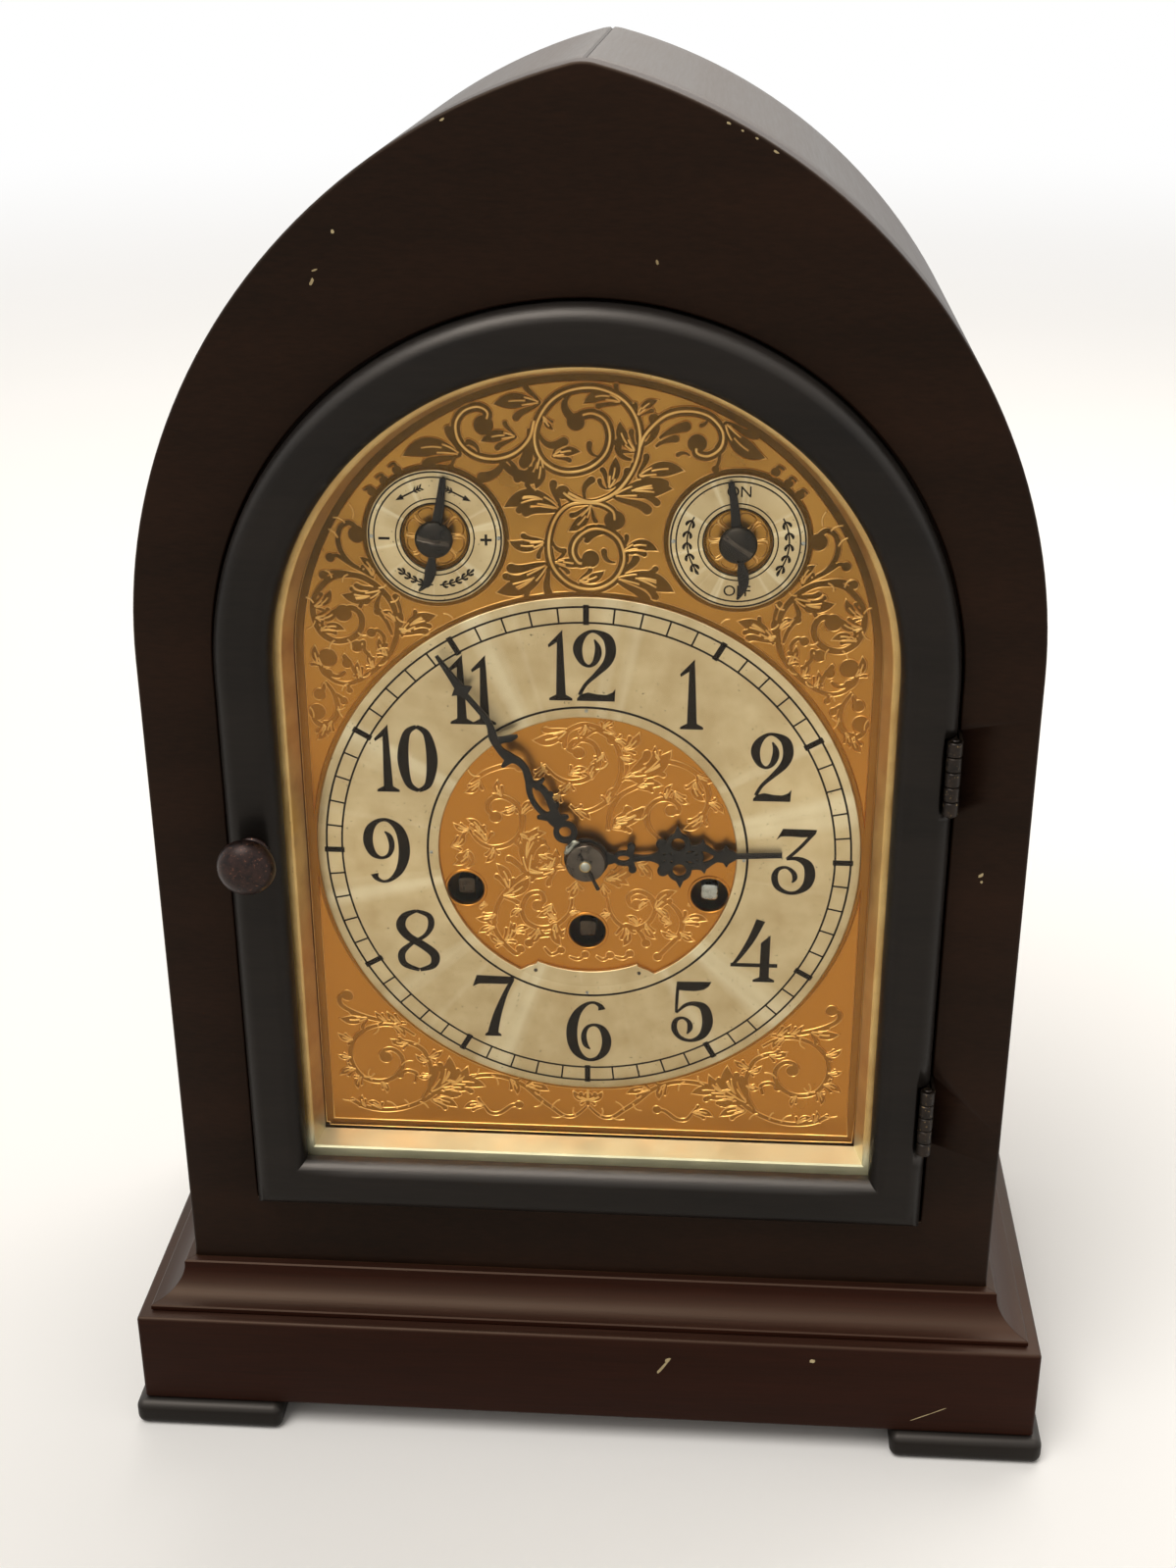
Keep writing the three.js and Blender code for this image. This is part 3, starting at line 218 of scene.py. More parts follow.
# Gilding under old lacquer: deep orange gold, cloudy, its shine softened. Lower on the dial it is painted a
# deeper orange, a painted reflection of the light there.
giltMetal = metalFinish("dial brass, gilt under lacquer", {
    "dark": "#956a30", "light": "#b4833f", "spot": "#7d5526", "cloud": 22, "speck": 1.1, "spotFrom": 0.66,
    "rough": (0.26, 0.36), "felt": 0.05, "fade": (195, 262, "#b87731")})
# The etched figure is matt and browner than the polished ground, partly from the etching and partly painted
# shade, the dark reflection of the upper figure; lower down it is painted lighter.
etchMetal = metalFinish("dial brass, etched matt", {
    "dark": "#503816", "light": "#6d4e22", "spot": "#3f2c12", "cloud": 14, "speck": 0.7, "spotFrom": 0.6,
    "rough": (0.42, 0.56), "felt": 0.2, "fade": (216, 254, "#a87030")})
# Nearer the light the matt figure is almost as gold as the ground, and only its edges tell.
heartMetal = metalFinish("dial brass, etched matt and light", {
    "dark": "#9c6428", "light": "#b87a35", "spot": "#7d5526", "cloud": 14, "speck": 0.7, "spotFrom": 0.62,
    "rough": (0.36, 0.48), "felt": 0.15})
# The etched edge is the bright line that draws the scrolls: a paler gold standing in for the glint along it,
# a painted highlight, painted paler still lower on the dial.
edgeHighlightLook = {"dark": "#c79450", "light": "#e5bb79", "spot": "#b98a42", "cloud": 9, "speck": 0.6,
            "spotFrom": 0.68, "rough": (0.28, 0.4), "felt": 0.05, "fade": (195, 250, "#dfa960")}
edgeHighlightMetal = metalFinish("dial brass, burnished edge", edgeHighlightLook)
softEdgeHighlightMetal = metalFinish("dial brass, soft edge", dict(edgeHighlightLook, fade=(195, 250, "#e8b56c")))
# Sight brass: yellow that has gone hazy in patches, and painted almost white along the sill, a painted
# reflection of the light from above.
sightMetal = metalFinish("sight brass, polished and hazed", {
    "dark": "#bb9257", "light": "#dfba7c", "spot": "#8a6a38", "cloud": 12, "speck": 0.8, "spotFrom": 0.67,
    "rough": (0.28, 0.44), "felt": 0.08, "metal": 0.7, "fade": (88, 95, "#eae6ca")})
# Clock brass with a drawn grain, spotted brown.
movementMetal = metalFinish("movement brass, grained", {
    "dark": "#a8853f", "light": "#cfa95a", "spot": "#6e5526", "cloud": 8, "speck": 0.9, "spotFrom": 0.62,
    "along": (1, 1, 0.1), "rough": (0.24, 0.4), "felt": 0.12})
# Patinated bronze, chocolate with rubbed red-brown patches.
bronzeMetal = metalFinish("bronze, dark patina", {
    "dark": "#140d0b", "light": "#33201a", "spot": "#6a4432", "cloud": 1.6, "speck": 0.7, "spotFrom": 0.62,
    "rough": (0.26, 0.44), "felt": 0.35, "metal": 0.6})
# Blackened brass, rubbed to yellow specks where it has been touched.
hingeMetal = metalFinish("hinge brass, blackened", {
    "dark": "#15110e", "light": "#2b221b", "spot": "#8a7350", "cloud": 2.2, "speck": 0.8, "spotFrom": 0.63,
    "rough": (0.3, 0.46), "felt": 0.2, "metal": 0.7})
# Blacked steel hands, a soft shine along the cut edges.
handMetal = metalFinish("steel hands, blacked", {
    "dark": "#0f0a07", "light": "#1c140e", "spot": "#3a2c20", "cloud": 3, "speck": 0.5, "spotFrom": 0.7,
    "rough": (0.28, 0.42), "felt": 0.08, "metal": 0.3, "shine": 0.3})
# Bright turned steel, greyed in clouds.
steelMetal = metalFinish("steel, bright turned", {
    "dark": "#7c7a76", "light": "#b3b0aa", "spot": "#4b4741", "cloud": 2, "speck": 0.4, "spotFrom": 0.62,
    "rough": (0.2, 0.36), "felt": 0.1})
# Solder, dull and lumpy.
solderMetal = metalFinish("solder, dull grey", {
    "dark": "#8a8880", "light": "#b9b6ad", "spot": "#5d5a52", "cloud": 0.9, "speck": 0.4, "spotFrom": 0.6,
    "rough": (0.4, 0.58), "felt": 0.4})
# Browned steel that still takes a soft highlight.
colletMetal = metalFinish("steel collet, browned", {
    "dark": "#3f3731", "light": "#625850", "spot": "#2c2622", "cloud": 2.6, "speck": 0.4, "spotFrom": 0.7,
    "rough": (0.24, 0.38), "felt": 0.1})
# Darker brown: browned steel with painted shade, so that the squares sink into their holes.
squareMetal = metalFinish("steel squares, browned", {
    "dark": "#2e251d", "light": "#4e4033", "spot": "#6a5a48", "cloud": 1.6, "speck": 0.4, "spotFrom": 0.66,
    "rough": (0.24, 0.38), "felt": 0.1, "metal": 0.9})
# Brown-black and smooth enough for one clear glint.
screwMetal = metalFinish("steel screw, brown-black", {
    "dark": "#1d1916", "light": "#302923", "spot": "#4a3f36", "cloud": 3, "speck": 0.5, "spotFrom": 0.72,
    "rough": (0.26, 0.36), "felt": 0.06, "metal": 0.7, "shine": 0.4})
# Rolled iron, dark and rough with a hint of rust.
ironMetal = metalFinish("iron rod, mill dark", {
    "dark": "#2b2927", "light": "#45413d", "spot": "#5c4433", "cloud": 5, "speck": 0.8, "spotFrom": 0.6,
    "rough": (0.4, 0.6), "felt": 0.2})
# Black wax in the engraving, slightly uneven and matt.
inkWax = metalFinish("engraving wax, black", {
    "dark": "#130c06", "light": "#20150b", "spot": "#3f3220", "cloud": 2.5, "speck": 0.35, "spotFrom": 0.72,
    "rough": (0.5, 0.64), "felt": 0.1, "metal": 0.0, "shine": 0.1})

# Silvering, grained in circles round each ring's own centre, so that light gathers into spokes; paler spokes
# are also painted into its colour, a painted highlight.
silverLook = {"dark": "#c0a67e", "light": "#d8c29c", "spoke": "#f4e8cc", "spot": "#7c6f56", "cloud": 9,
              "speck": 0.9}


def silverFinish(name, look):
    mat, tree, shader = newMaterial(name, {"Metallic": 1.0, "Anisotropic": 0.75})
    around = addNode(tree, "ShaderNodeUVMap", uv_map="round").outputs["UV"]
    place = objectPlace(tree)
    lines = noise(tree, drawnOut(tree, around, (1.4, 160, 1)), 5, 3)
    spokes = noise(tree, drawnOut(tree, around, (26, 0, 0)), 1, 3)
    cloud = noise(tree, place, perGrain(look["cloud"]), 5)
    speck = noise(tree, place, perGrain(look["speck"]), 2, 0.7)
    tone = blend(tree, spread(tree, cloud, 0.3, 0.72), look["dark"], look["light"])
    # painted highlight: paler spokes round the ring
    lit = blend(tree, spread(tree, spokes, 0.52, 0.76, 0.0, 0.8), tone, look["spoke"])
    worn = blend(tree, spread(tree, speck, 0.69, 0.74), lit, look["spot"])
    tangent = addNode(tree, "ShaderNodeTangent", direction_type="UV_MAP", uv_map="round").outputs[0]
    wire(tree, shader, {"Base Color": worn, "Roughness": spread(tree, lines, 0.0, 1.0, 0.3, 0.5),
                        "Normal": bump(tree, lines, 0.06, 0.05), "Tangent": tangent})
    return mat


silverMetal = silverFinish("dial rings, silvered and circular grained", silverLook)

# Old window glass: clear, hardly tinted, faint dust haze in the shine. Shadow rays pass, so the dial is lit.
glassLook = {"tint": "#fbfcf6", "bend": 1.18, "dust": 14, "haze": 0.008}


def glassFinish(name, look):
    mat, tree, shader = newMaterial(name, {
        "Base Color": linear(look["tint"]), "Transmission Weight": 1.0, "IOR": look["bend"]})
    dust = noise(tree, objectPlace(tree), perGrain(look["dust"]), 6)
    wire(tree, shader, {"Roughness": spread(tree, dust, 0.45, 1.0, 0.0, look["haze"])})
    clear = addNode(tree, "ShaderNodeBsdfTransparent", {"Color": linear(look["tint"])}).outputs[0]
    shadow = addNode(tree, "ShaderNodeLightPath").outputs["Is Shadow Ray"]
    mixedSurface(tree, shadow, shader.outputs[0], clear)
    return mat


paneGlass = glassFinish("window glass, old", glassLook)
print("materials made")


# A mesh takes its finishes, smooth faces and sharp edges past an angle
def dressMesh(mesh, finishes, sharp=32, merge=True):
    build = bmesh.new()
    build.from_mesh(mesh)
    if merge:
        bmesh.ops.remove_doubles(build, verts=build.verts, dist=0.0005 * mm)
    bmesh.ops.recalc_face_normals(build, faces=build.faces)
    build.to_mesh(mesh)
    build.free()
    for finish in finishes:
        mesh.materials.append(finish)
    for face in mesh.polygons:
        face.use_smooth = True
    mesh.set_sharp_from_angle(angle=math.radians(sharp))
    return mesh


def placeMesh(name, mesh):
    piece = bpy.data.objects.new(name, mesh)
    bpy.context.scene.collection.objects.link(piece)
    return piece


def makePiece(name, points, faces, *finishes, marks=None, sharp=32, merge=True):
    mesh = bpy.data.meshes.new(name)
    mesh.from_pydata([at(*p) for p in points], [], faces)
    if marks:
        mesh.polygons.foreach_set("material_index", marks)
    return placeMesh(name, dressMesh(mesh, finishes, sharp, merge))


def settle(piece, body, slot, *nodes):
    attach(piece, body)
    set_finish(piece, slot)
    if nodes:
        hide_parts(*nodes)


def bakedMesh(piece):
    shaped = bpy.data.meshes.new_from_object(piece.evaluated_get(bpy.context.evaluated_depsgraph_get()))
    old = piece.data
    piece.modifiers.clear()
    piece.data = shaped
    bpy.data.meshes.remove(old)


# Rings of points joined in order; the run can close on itself, or end in flat caps.
def loft(rings, around=True, through=False, caps=False):
    count = len(rings[0])
    points = [p for ring in rings for p in ring]
    faces = []
    for r in range(len(rings) if through else len(rings) - 1):
        a, b = r * count, (r + 1) % len(rings) * count
        for i in range(count if around else count - 1):
            j = (i + 1) % count
            faces.append((a + i, a + j, b + j, b + i))
    if caps:
        last = (len(rings) - 1) * count
        faces += [tuple(reversed(range(count))), tuple(range(last, last + count))]
    return points, faces


# A profile of (radius, y) rows turned round a front-to-back axis at (x, z).
def turned(profile, x, z, steps=64):
    rings = []
    for step in range(steps):
        a = 2 * math.pi * step / steps
        rings.append([(x + r * math.sin(a), y, z + r * math.cos(a)) for r, y in profile])
    return loft(rings, around=False, through=True)


def arcRows(centre, radius, start, end, steps):
    rows = []
    for step in range(steps + 1):
        a = math.radians(start + (end - start) * step / steps)
        rows.append((centre[0] + radius * math.cos(a), centre[1] + radius * math.sin(a)))
    return rows


def roundedBox(name, low, high, radius, steps, *finishes):
    build = bmesh.new()
    bmesh.ops.create_cube(build, size=1)
    for vert in build.verts:
        vert.co = at(*[low[k] if vert.co[k] < 0 else high[k] for k in range(3)])
    bmesh.ops.bevel(build, geom=list(build.edges), offset=radius * mm, segments=steps, profile=0.5,
                    affect="EDGES")
    mesh = bpy.data.meshes.new(name)
    build.to_mesh(mesh)
    build.free()
    return placeMesh(name, dressMesh(mesh, finishes, 40))


def cutWith(piece, *boxes):
    for low, high in boxes:
        tool = roundedBox("cutter", low, high, 0.05, 1)
        cut = piece.modifiers.new("cut", "BOOLEAN")
        cut.operation, cut.object, cut.solver = "DIFFERENCE", tool, "EXACT"
        bpy.context.view_layer.update()
        bakedMesh(piece)
        bpy.data.objects.remove(tool)
    return piece


# Outlines of the case and its openings. Every outline has the same count of points, so any two can be joined.
caseShape = {"half": 112.5, "low": 48.1, "spring": 230, "radius": 146, "apexRound": 12}
doorSpring = 228
outlineSteps = {"floor": 10, "side": 18, "arc": 96, "apex": 10}


def roundOutline(half, low, y):
    n = outlineSteps
    rows = [(-half + 2 * half * i / n["floor"], low) for i in range(n["floor"])]
    rows += [(half, low + (doorSpring - low) * i / n["side"]) for i in range(n["side"])]
    rows += [(half * math.cos(math.pi * i / n["arc"]), doorSpring + half * math.sin(math.pi * i / n["arc"]))
             for i in range(n["arc"])]
    rows += [(-half, doorSpring - (doorSpring - low) * i / n["side"]) for i in range(n["side"])]
    return [(x, y, z) for x, z in rows]


def archHalf(inset, low):
    c, n = caseShape, outlineSteps
    half, radius, crown = c["half"] - inset, c["radius"] - inset, c["apexRound"] - inset
    offset = c["radius"] - c["half"]
    lean = math.degrees(math.acos(offset / (c["radius"] - c["apexRound"])))
    rise = c["spring"] + (c["radius"] - c["apexRound"]) * math.sin(math.radians(lean))
    rows = [(half, low + (c["spring"] - low) * i / n["side"]) for i in range(n["side"])]
    rows += arcRows((-offset, c["spring"]), radius, 0, lean, n["arc"] // 2 - n["apex"] // 2)[:-1]
    return rows + arcRows((0, rise), crown, lean, 90, n["apex"] // 2)


def pointedOutline(inset, low, y):
    n, half = outlineSteps["floor"], caseShape["half"] - inset
    right = archHalf(inset, low)
    rows = [(-half + 2 * half * i / n, low) for i in range(n)]
    rows += right + [(-x, z) for x, z in reversed(right[1:-1])]
    return [(x, y, z) for x, z in rows]


# The camera that took the picture, found from the outline of the case
cameraSet = {"place": (0.032583, -0.51153, 0.405128), "yaw": -3.9555, "pitch": 24.1519, "roll": -0.179,
             "lens": 45.64, "sensor": 36, "near": 0.01, "picture": (1199, 1599)}


def cameraAxes():
    yaw, pitch, roll = [math.radians(cameraSet[name]) for name in ("yaw", "pitch", "roll")]
    ahead = (math.sin(yaw) * math.cos(pitch), math.cos(yaw) * math.cos(pitch), -math.sin(pitch))
    level = (math.cos(yaw), -math.sin(yaw), 0)
    top = (level[1] * ahead[2] - level[2] * ahead[1], level[2] * ahead[0] - level[0] * ahead[2],
           level[0] * ahead[1] - level[1] * ahead[0])
    right = [a * math.cos(roll) + b * math.sin(roll) for a, b in zip(level, top)]
    up = [b * math.cos(roll) - a * math.sin(roll) for a, b in zip(level, top)]
    return right, up, ahead


# Where the sight line through a point of the picture meets the plane at y, to a tenth of a millimetre
def sighted(across, down, y):
    wide, high = cameraSet["picture"]
    focal = cameraSet["lens"] / cameraSet["sensor"] * high
    place = cameraSet["place"]
    ray = [c + a * (across - wide / 2) / focal - b * (down - high / 2) / focal
           for a, b, c in zip(*cameraAxes())]
    reach = ((y + caseFront) * mm - place[1]) / ray[1]
    return tuple(round((place[k] + reach * ray[k]) / mm, 1) for k in (0, 2))


# Base: four bullnosed feet, the plinth and a cove moulding mitred round three sides
base = {"footSide": 42.5, "footHeight": 7.9, "footReach": 2.5, "footRound": 2.6, "plinthHalf": 127,
        "plinthFront": -14.5, "plinthBack": 125, "plinthLow": 8, "plinthHigh": 36.5, "plinthRound": 1.0,
        "coveLow": 36.6, "coveHigh": 48, "ledge": 2.6, "fillet": 1.0, "reach": 11, "lip": 1.8, "gap": 0.1,
        "ledgeEase": 0.4, "ease": 0.35, "footEase": 0.3, "mitreGap": 0.12, "steps": 24}
for side, sign in sides:
    for end in ("front", "back"):
        outer = sign * (base["plinthHalf"] + base["footReach"])
        inner = outer - sign * base["footSide"]
        inFront = end == "front"
        y = base["plinthFront"] - base["footReach"] if inFront else base["plinthBack"] + base["footReach"]
        yIn = y + base["footSide"] if inFront else y - base["footSide"]
        foot = roundedBox(f"{end}{side.title()}Foot", (min(outer, inner), min(y, yIn), 0),
                          (max(outer, inner), max(y, yIn), base["footHeight"]), base["footRound"], 6,
                          footWood)
        settle(foot, "case", "ebonised", f"foot_{end}_{side}")

plinth = roundedBox("plinth", (-base["plinthHalf"], base["plinthFront"], base["plinthLow"]),
                    (base["plinthHalf"], base["plinthBack"], base["plinthHigh"]), base["plinthRound"], 4,
                    baseWood)
settle(plinth, "case", "mahogany", "base_plinth")

coveTop = base["coveHigh"] - base["fillet"]
coveDeep = coveTop - base["coveLow"] - base["lip"]
lipTop = base["coveLow"] + base["lip"]
cove = [(base["gap"], base["coveHigh"]), (base["ledge"] - base["ledgeEase"], base["coveHigh"]),
        (base["ledge"], base["coveHigh"] - base["ease"]), (base["ledge"], coveTop)]
cove += [(base["reach"] - (base["reach"] - base["ledge"]) * math.cos(t * math.pi / 32),
          coveTop - coveDeep * math.sin(t * math.pi / 32)) for t in range(1, 16)]
cove += [(base["reach"] - base["ease"], lipTop), (base["reach"], lipTop - base["ease"]),
         (base["reach"], base["coveLow"] + base["footEase"]),
         (base["reach"] - base["footEase"], base["coveLow"]), (base["gap"], base["coveLow"])]
half, steps = caseShape["half"], base["steps"]
run = [[((half + out) * (2 * i / steps - 1), -out, z) for out, z in cove] for i in range(steps + 1)]
settle(makePiece("frontMoulding", *loft(run, caps=True), baseWood), "case", "mahogany",
       "base_moulding_front")
for side, sign in sides:
    gap, end = base["mitreGap"], base["plinthBack"]
    run = [[(sign * (half + out), -out + gap + (end + out - gap) * i / steps, z) for out, z in cove]
           for i in range(steps + 1)]
    moulding = makePiece(f"{side}Moulding", *loft(run, caps=True), sideBaseWood)
    settle(moulding, "case", "mahogany", f"base_moulding_{side}")
print("base made")

# Front panel: a pointed arch with the door's recess cut in it, its front arris just softened
panel = {"thick": 10, "soften": 0.9, "recessHalf": 92.8, "recessLow": 69.2, "recessDeep": 5,
         "recessEase": 0.5, "openingHalf": 80.2, "openingLow": 81.8}
hingeRises = (106.2, 206.4)
low, ease = caseShape["low"], panel["recessEase"]
rings = [pointedOutline(0, low, panel["thick"]), pointedOutline(0, low, panel["soften"])]
rings += [pointedOutline(panel["soften"] * (1 - math.cos(t * math.pi / 8)), low,
                         panel["soften"] * (1 - math.sin(t * math.pi / 8))) for t in range(1, 5)]
rings += [roundOutline(panel["recessHalf"] + ease * (1 - math.sin(t * math.pi / 6)),
                       panel["recessLow"] - ease * (1 - math.sin(t * math.pi / 6)),
                       ease * (1 - math.cos(t * math.pi / 6))) for t in range(4)]
rings += [roundOutline(panel["recessHalf"], panel["recessLow"], panel["recessDeep"]),
          roundOutline(panel["openingHalf"], panel["openingLow"], panel["recessDeep"]),
          roundOutline(panel["openingHalf"], panel["openingLow"], panel["thick"])]
archPanel = makePiece("archPanel", *loft(rings, through=True), panelWood)
hingeSeats = [((92, -1, rise - 10.3), (93.4, 5.1, rise + 10.3)) for rise in hingeRises]
settle(cutWith(archPanel, *hingeSeats), "case", "mahogany", "front_panel")

# The two bent sides meet at the ridge, where the seam shows as a fine line
shell = {"front": 10.1, "back": 122, "wall": 8, "seamEase": 0.45, "seam": 0.05, "soften": 0.8}


def shellRing(inset, y, sign):
    outer = [(max(x, shell["seam"]), z) for x, z in archHalf(inset, low)]
    # the eased joint shows as a line along the ridge
    outer[-1] = (shell["seam"], outer[-1][1] - shell["seamEase"])
    c = caseShape
    offset, radius = c["radius"] - c["half"], c["radius"] - shell["wall"]
    top = math.degrees(math.acos((offset + shell["seam"]) / radius))
    inner = [(c["half"] - shell["wall"], z) for x, z in outer[:outlineSteps["side"]]]
    inner += arcRows((-offset, c["spring"]), radius, 0, top, len(outer) - len(inner) - 1)
    return [(sign * x, y, z) for x, z in outer + inner[::-1]]


for side, sign in sides:
    run = [(0.35, shell["front"]), (0.1, shell["front"] + 0.15), (0, shell["front"] + 0.5)]
    run += [(0, shell["front"] + (shell["back"] - shell["front"]) * t / 12) for t in range(1, 12)]
    run += [(0, shell["back"] - shell["soften"]), (0.25, shell["back"] - 0.25),
            (shell["soften"], shell["back"])]
    rings = [shellRing(inset, y, sign) for inset, y in run]
    points, faces = loft(rings)
    count = len(rings[0])
    last = (len(rings) - 1) * count
    for i in range(count // 2 - 1):
        faces.append((i, i + 1, count - 2 - i, count - 1 - i))
        faces.append((last + i, last + count - 1 - i, last + count - 2 - i, last + i + 1))
    bentSide = makePiece(f"{side}BentSide", points, faces, shellWood)
    settle(bentSide, "case", "mahogany", f"{side}_shell")
print("case made")

# Door: a round-topped frame, rounded outside and inside, with a rabbet behind for the pane
door = {"half": 92, "low": 70, "face": -6, "back": 4.7, "rail": 14.5, "round": 4.5, "lipBack": -0.5,
        "rabbet": 11}
section = [(0, door["back"])]
section += [(door["round"] * (1 - math.cos(t * math.pi / 24)),
             door["face"] + door["round"] * (1 - math.sin(t * math.pi / 24))) for t in range(13)]
section += [(door["rail"] - door["round"] * (1 - math.sin(t * math.pi / 24)),
             door["face"] + door["round"] * (1 - math.cos(t * math.pi / 24))) for t in range(13)]
section += [(door["rail"], door["lipBack"]), (door["rabbet"], door["lipBack"]),
            (door["rabbet"], door["back"])]
rings = [roundOutline(door["half"] - out, door["low"] + out, y) for out, y in section]
rails = makePiece("doorRails", *loft(rings, through=True), doorWood, sharp=38)
hingeSeats = [((88.6, -9, rise - 10.25), (94, door["back"] + 1, rise + 10.25)) for rise in hingeRises]
settle(cutWith(rails, *hingeSeats), "front_door", "ebonised", "door_frame")

# Brass sight: a flange under the pane and a slope that runs in to the dial
sight = {"flange": 80.7, "lip": 75.8, "inner": 73.8, "front": 1.9, "back": 8.4, "wall": 1.0, "low": 81.3}
toLip, toInner = sight["flange"] - sight["lip"], sight["flange"] - sight["inner"]
section = [(0, sight["front"]), (toLip - 0.5, sight["front"]), (toLip, sight["front"] + 0.35),
           (toInner - 0.1, sight["back"] - 0.3), (toInner - 0.3, sight["back"]),
           (toInner - sight["wall"], sight["back"]),
           (toLip - sight["wall"], sight["front"] + sight["wall"]), (0, sight["front"] + sight["wall"])]
rings = [roundOutline(sight["flange"] - out, sight["low"] + out, y) for out, y in section]
slope = makePiece("sightSlope", *loft(rings, through=True), sightMetal, sharp=24)
settle(slope, "front_door", "brass", "sight_frame")

# Knob: a mushroom on a short waist
knob = {"x": -84.75, "z": 180.5, "base": -6.1,
        "profile": [(0, 0), (4.4, 0), (4.7, 0.3), (4.7, 1.0), (4.3, 1.5), (3.6, 2.4), (3.4, 3.4),
                    (3.7, 4.4), (4.8, 5.5), (6.3, 6.2), (7.2, 6.9), (7.5, 7.8), (7.42, 8.8), (7.0, 10.0),
                    (6.2, 11.1), (5.0, 12.0), (3.4, 12.65), (1.7, 12.93), (0, 13)]}
profile = [(r, knob["base"] - out) for r, out in knob["profile"]]
mushroom = makePiece("mushroomKnob", *turned(profile, knob["x"], knob["z"]), bronzeMetal)
settle(mushroom, "front_door", "bronze", "door_knob")

# Butt hinges: five knuckles on one pin, three of the case's leaf and two of the door's
hinge = {"x": 91.1, "y": -6.5, "radius": 1.9, "length": 20, "knuckles": 5, "gap": 0.2, "soft": 0.25,
         "pinRadius": 1.1, "pinOut": 0.5, "pinIn": 0.05, "tongue": 0.3, "plate": 2.2,
         "case": {"x": (1.2, 2.0), "tongueBack": 4.6, "plateBack": 4.7},
         "door": {"x": (-0.1, 0.7), "tongueBack": 4.3, "plateBack": 4.4}}


def knuckle(low, high, radius):
    soft = hinge["soft"]
    profile = [(0, low), (radius - soft, low), (radius, low + soft), (radius, high - soft),
               (radius - soft, high), (0, high)]
    rings = []
    for i in range(32):
        a = 2 * math.pi * i / 32
        rings.append([(hinge["x"] + r * math.cos(a), hinge["y"] + r * math.sin(a), z) for r, z in profile])
    return loft(rings, around=False, through=True)


def leafBox(leaf, y0, y1, z0, z1):
    x0, x1 = [hinge["x"] + out for out in leaf["x"]]
    return loft([[(x0, y0, z), (x1, y0, z), (x1, y1, z), (x0, y1, z)] for z in (z0, z1)], caps=True)


def gathered(*parts):
    points, faces = [], []
    for morePoints, moreFaces in parts:
        faces += [tuple(i + len(points) for i in face) for face in moreFaces]
        points += morePoints
    return points, faces


# One half of a hinge: knuckles, whatever else is given, a tongue to each knuckle and the plate behind them
def hingeHalf(leaf, stops, foot, *others):
    knuckles = [knuckle(low, high, hinge["radius"]) for low, high in stops]
    tongues = [leafBox(leaf, hinge["y"] + hinge["tongue"], leaf["tongueBack"], low, high)
               for low, high in stops]
    plate = leafBox(leaf, hinge["y"] + hinge["plate"], leaf["plateBack"], foot, foot + hinge["length"])
    return gathered(*knuckles, *others, *tongues, plate)


each = hinge["length"] / hinge["knuckles"]
for name, rise in zip(("lower", "upper"), hingeRises):
    foot = rise - hinge["length"] / 2
    head = foot + hinge["length"]
    stops = [(foot + i * each + hinge["gap"] / 2, foot + (i + 1) * each - hinge["gap"] / 2)
             for i in range(hinge["knuckles"])]
    pinEnds = [knuckle(foot - hinge["pinOut"], foot + hinge["pinIn"], hinge["pinRadius"]),
               knuckle(head - hinge["pinIn"], head + hinge["pinOut"], hinge["pinRadius"])]
    fixed = makePiece(f"{name}CaseLeaf", *hingeHalf(hinge["case"], stops[0::2], foot, *pinEnds), hingeMetal,
                      merge=False)
    settle(fixed, "case", "bronze", f"{name}_hinge_case_leaf")
    moving = makePiece(f"{name}DoorLeaf", *hingeHalf(hinge["door"], stops[1::2], foot), hingeMetal,
                       merge=False)
    settle(moving, "front_door", "bronze", f"{name}_hinge_door_leaf")
print("door made")


# Flat shapes: overlapping outlines are joined in the plane, then given a thickness with eased edges.
def smoothRows(rows, steps=6):
    out = []
    for i in range(len(rows) - 1):
        four = [rows[max(i - 1, 0)], rows[i], rows[i + 1], rows[min(i + 2, len(rows) - 1)]]
        for step in range(steps):
            t = step / steps
            out.append(tuple(0.5 * (2 * b + (c - a) * t + (2 * a - 5 * b + 4 * c - e) * t * t
                                    + (3 * b - a - 3 * c + e) * t ** 3) for a, b, c, e in zip(*four)))
    return out + [tuple(rows[-1])]


# A stroke of (x, z, width) rows as a chain of four-sided pieces
def stroke(rows, smooth=True):
    rows = smoothRows(rows) if smooth else rows
    edges = []
    for i, (x, z, width) in enumerate(rows):
        before, after = rows[max(i - 1, 0)], rows[min(i + 1, len(rows) - 1)]
        dx, dz = after[0] - before[0], after[1] - before[1]
        size = math.hypot(dx, dz) or 1
        edges.append((x - dz / size * width / 2, z + dx / size * width / 2,
                      x + dz / size * width / 2, z - dx / size * width / 2))
    return [[a[:2], b[:2], b[2:], a[2:]] for a, b in zip(edges, edges[1:])]


def disc(x, z, radius, steps=24, squash=1.0, turn=0.0):
    c, s = math.cos(turn), math.sin(turn)
    rows = []
    for i in range(steps):
        a = 2 * math.pi * i / steps
        u, v = radius * math.cos(a), radius * squash * math.sin(a)
        rows.append((x + u * c - v * s, z + u * s + v * c))
    return rows


def moved(loop, x=0, z=0, turn=0.0, size=1.0):
    c, s = math.cos(turn), math.sin(turn)
    out = []
    for u, v in loop:
        u, v = u * size, v * size
        out.append((x + u * c - v * s, z + u * s + v * c))
    return out


def area(loop):
    return 0.5 * sum(a[0] * b[1] - b[0] * a[1] for a, b in zip(loop, loop[1:] + loop[:1]))


def insideLoop(loop, x, z):
    hit = False
    for (ax, az), (bx, bz) in zip(loop, loop[1:] + loop[:1]):
        if (az > z) != (bz > z) and x < ax + (z - az) * (bx - ax) / (bz - az):
            hit = not hit
    return hit


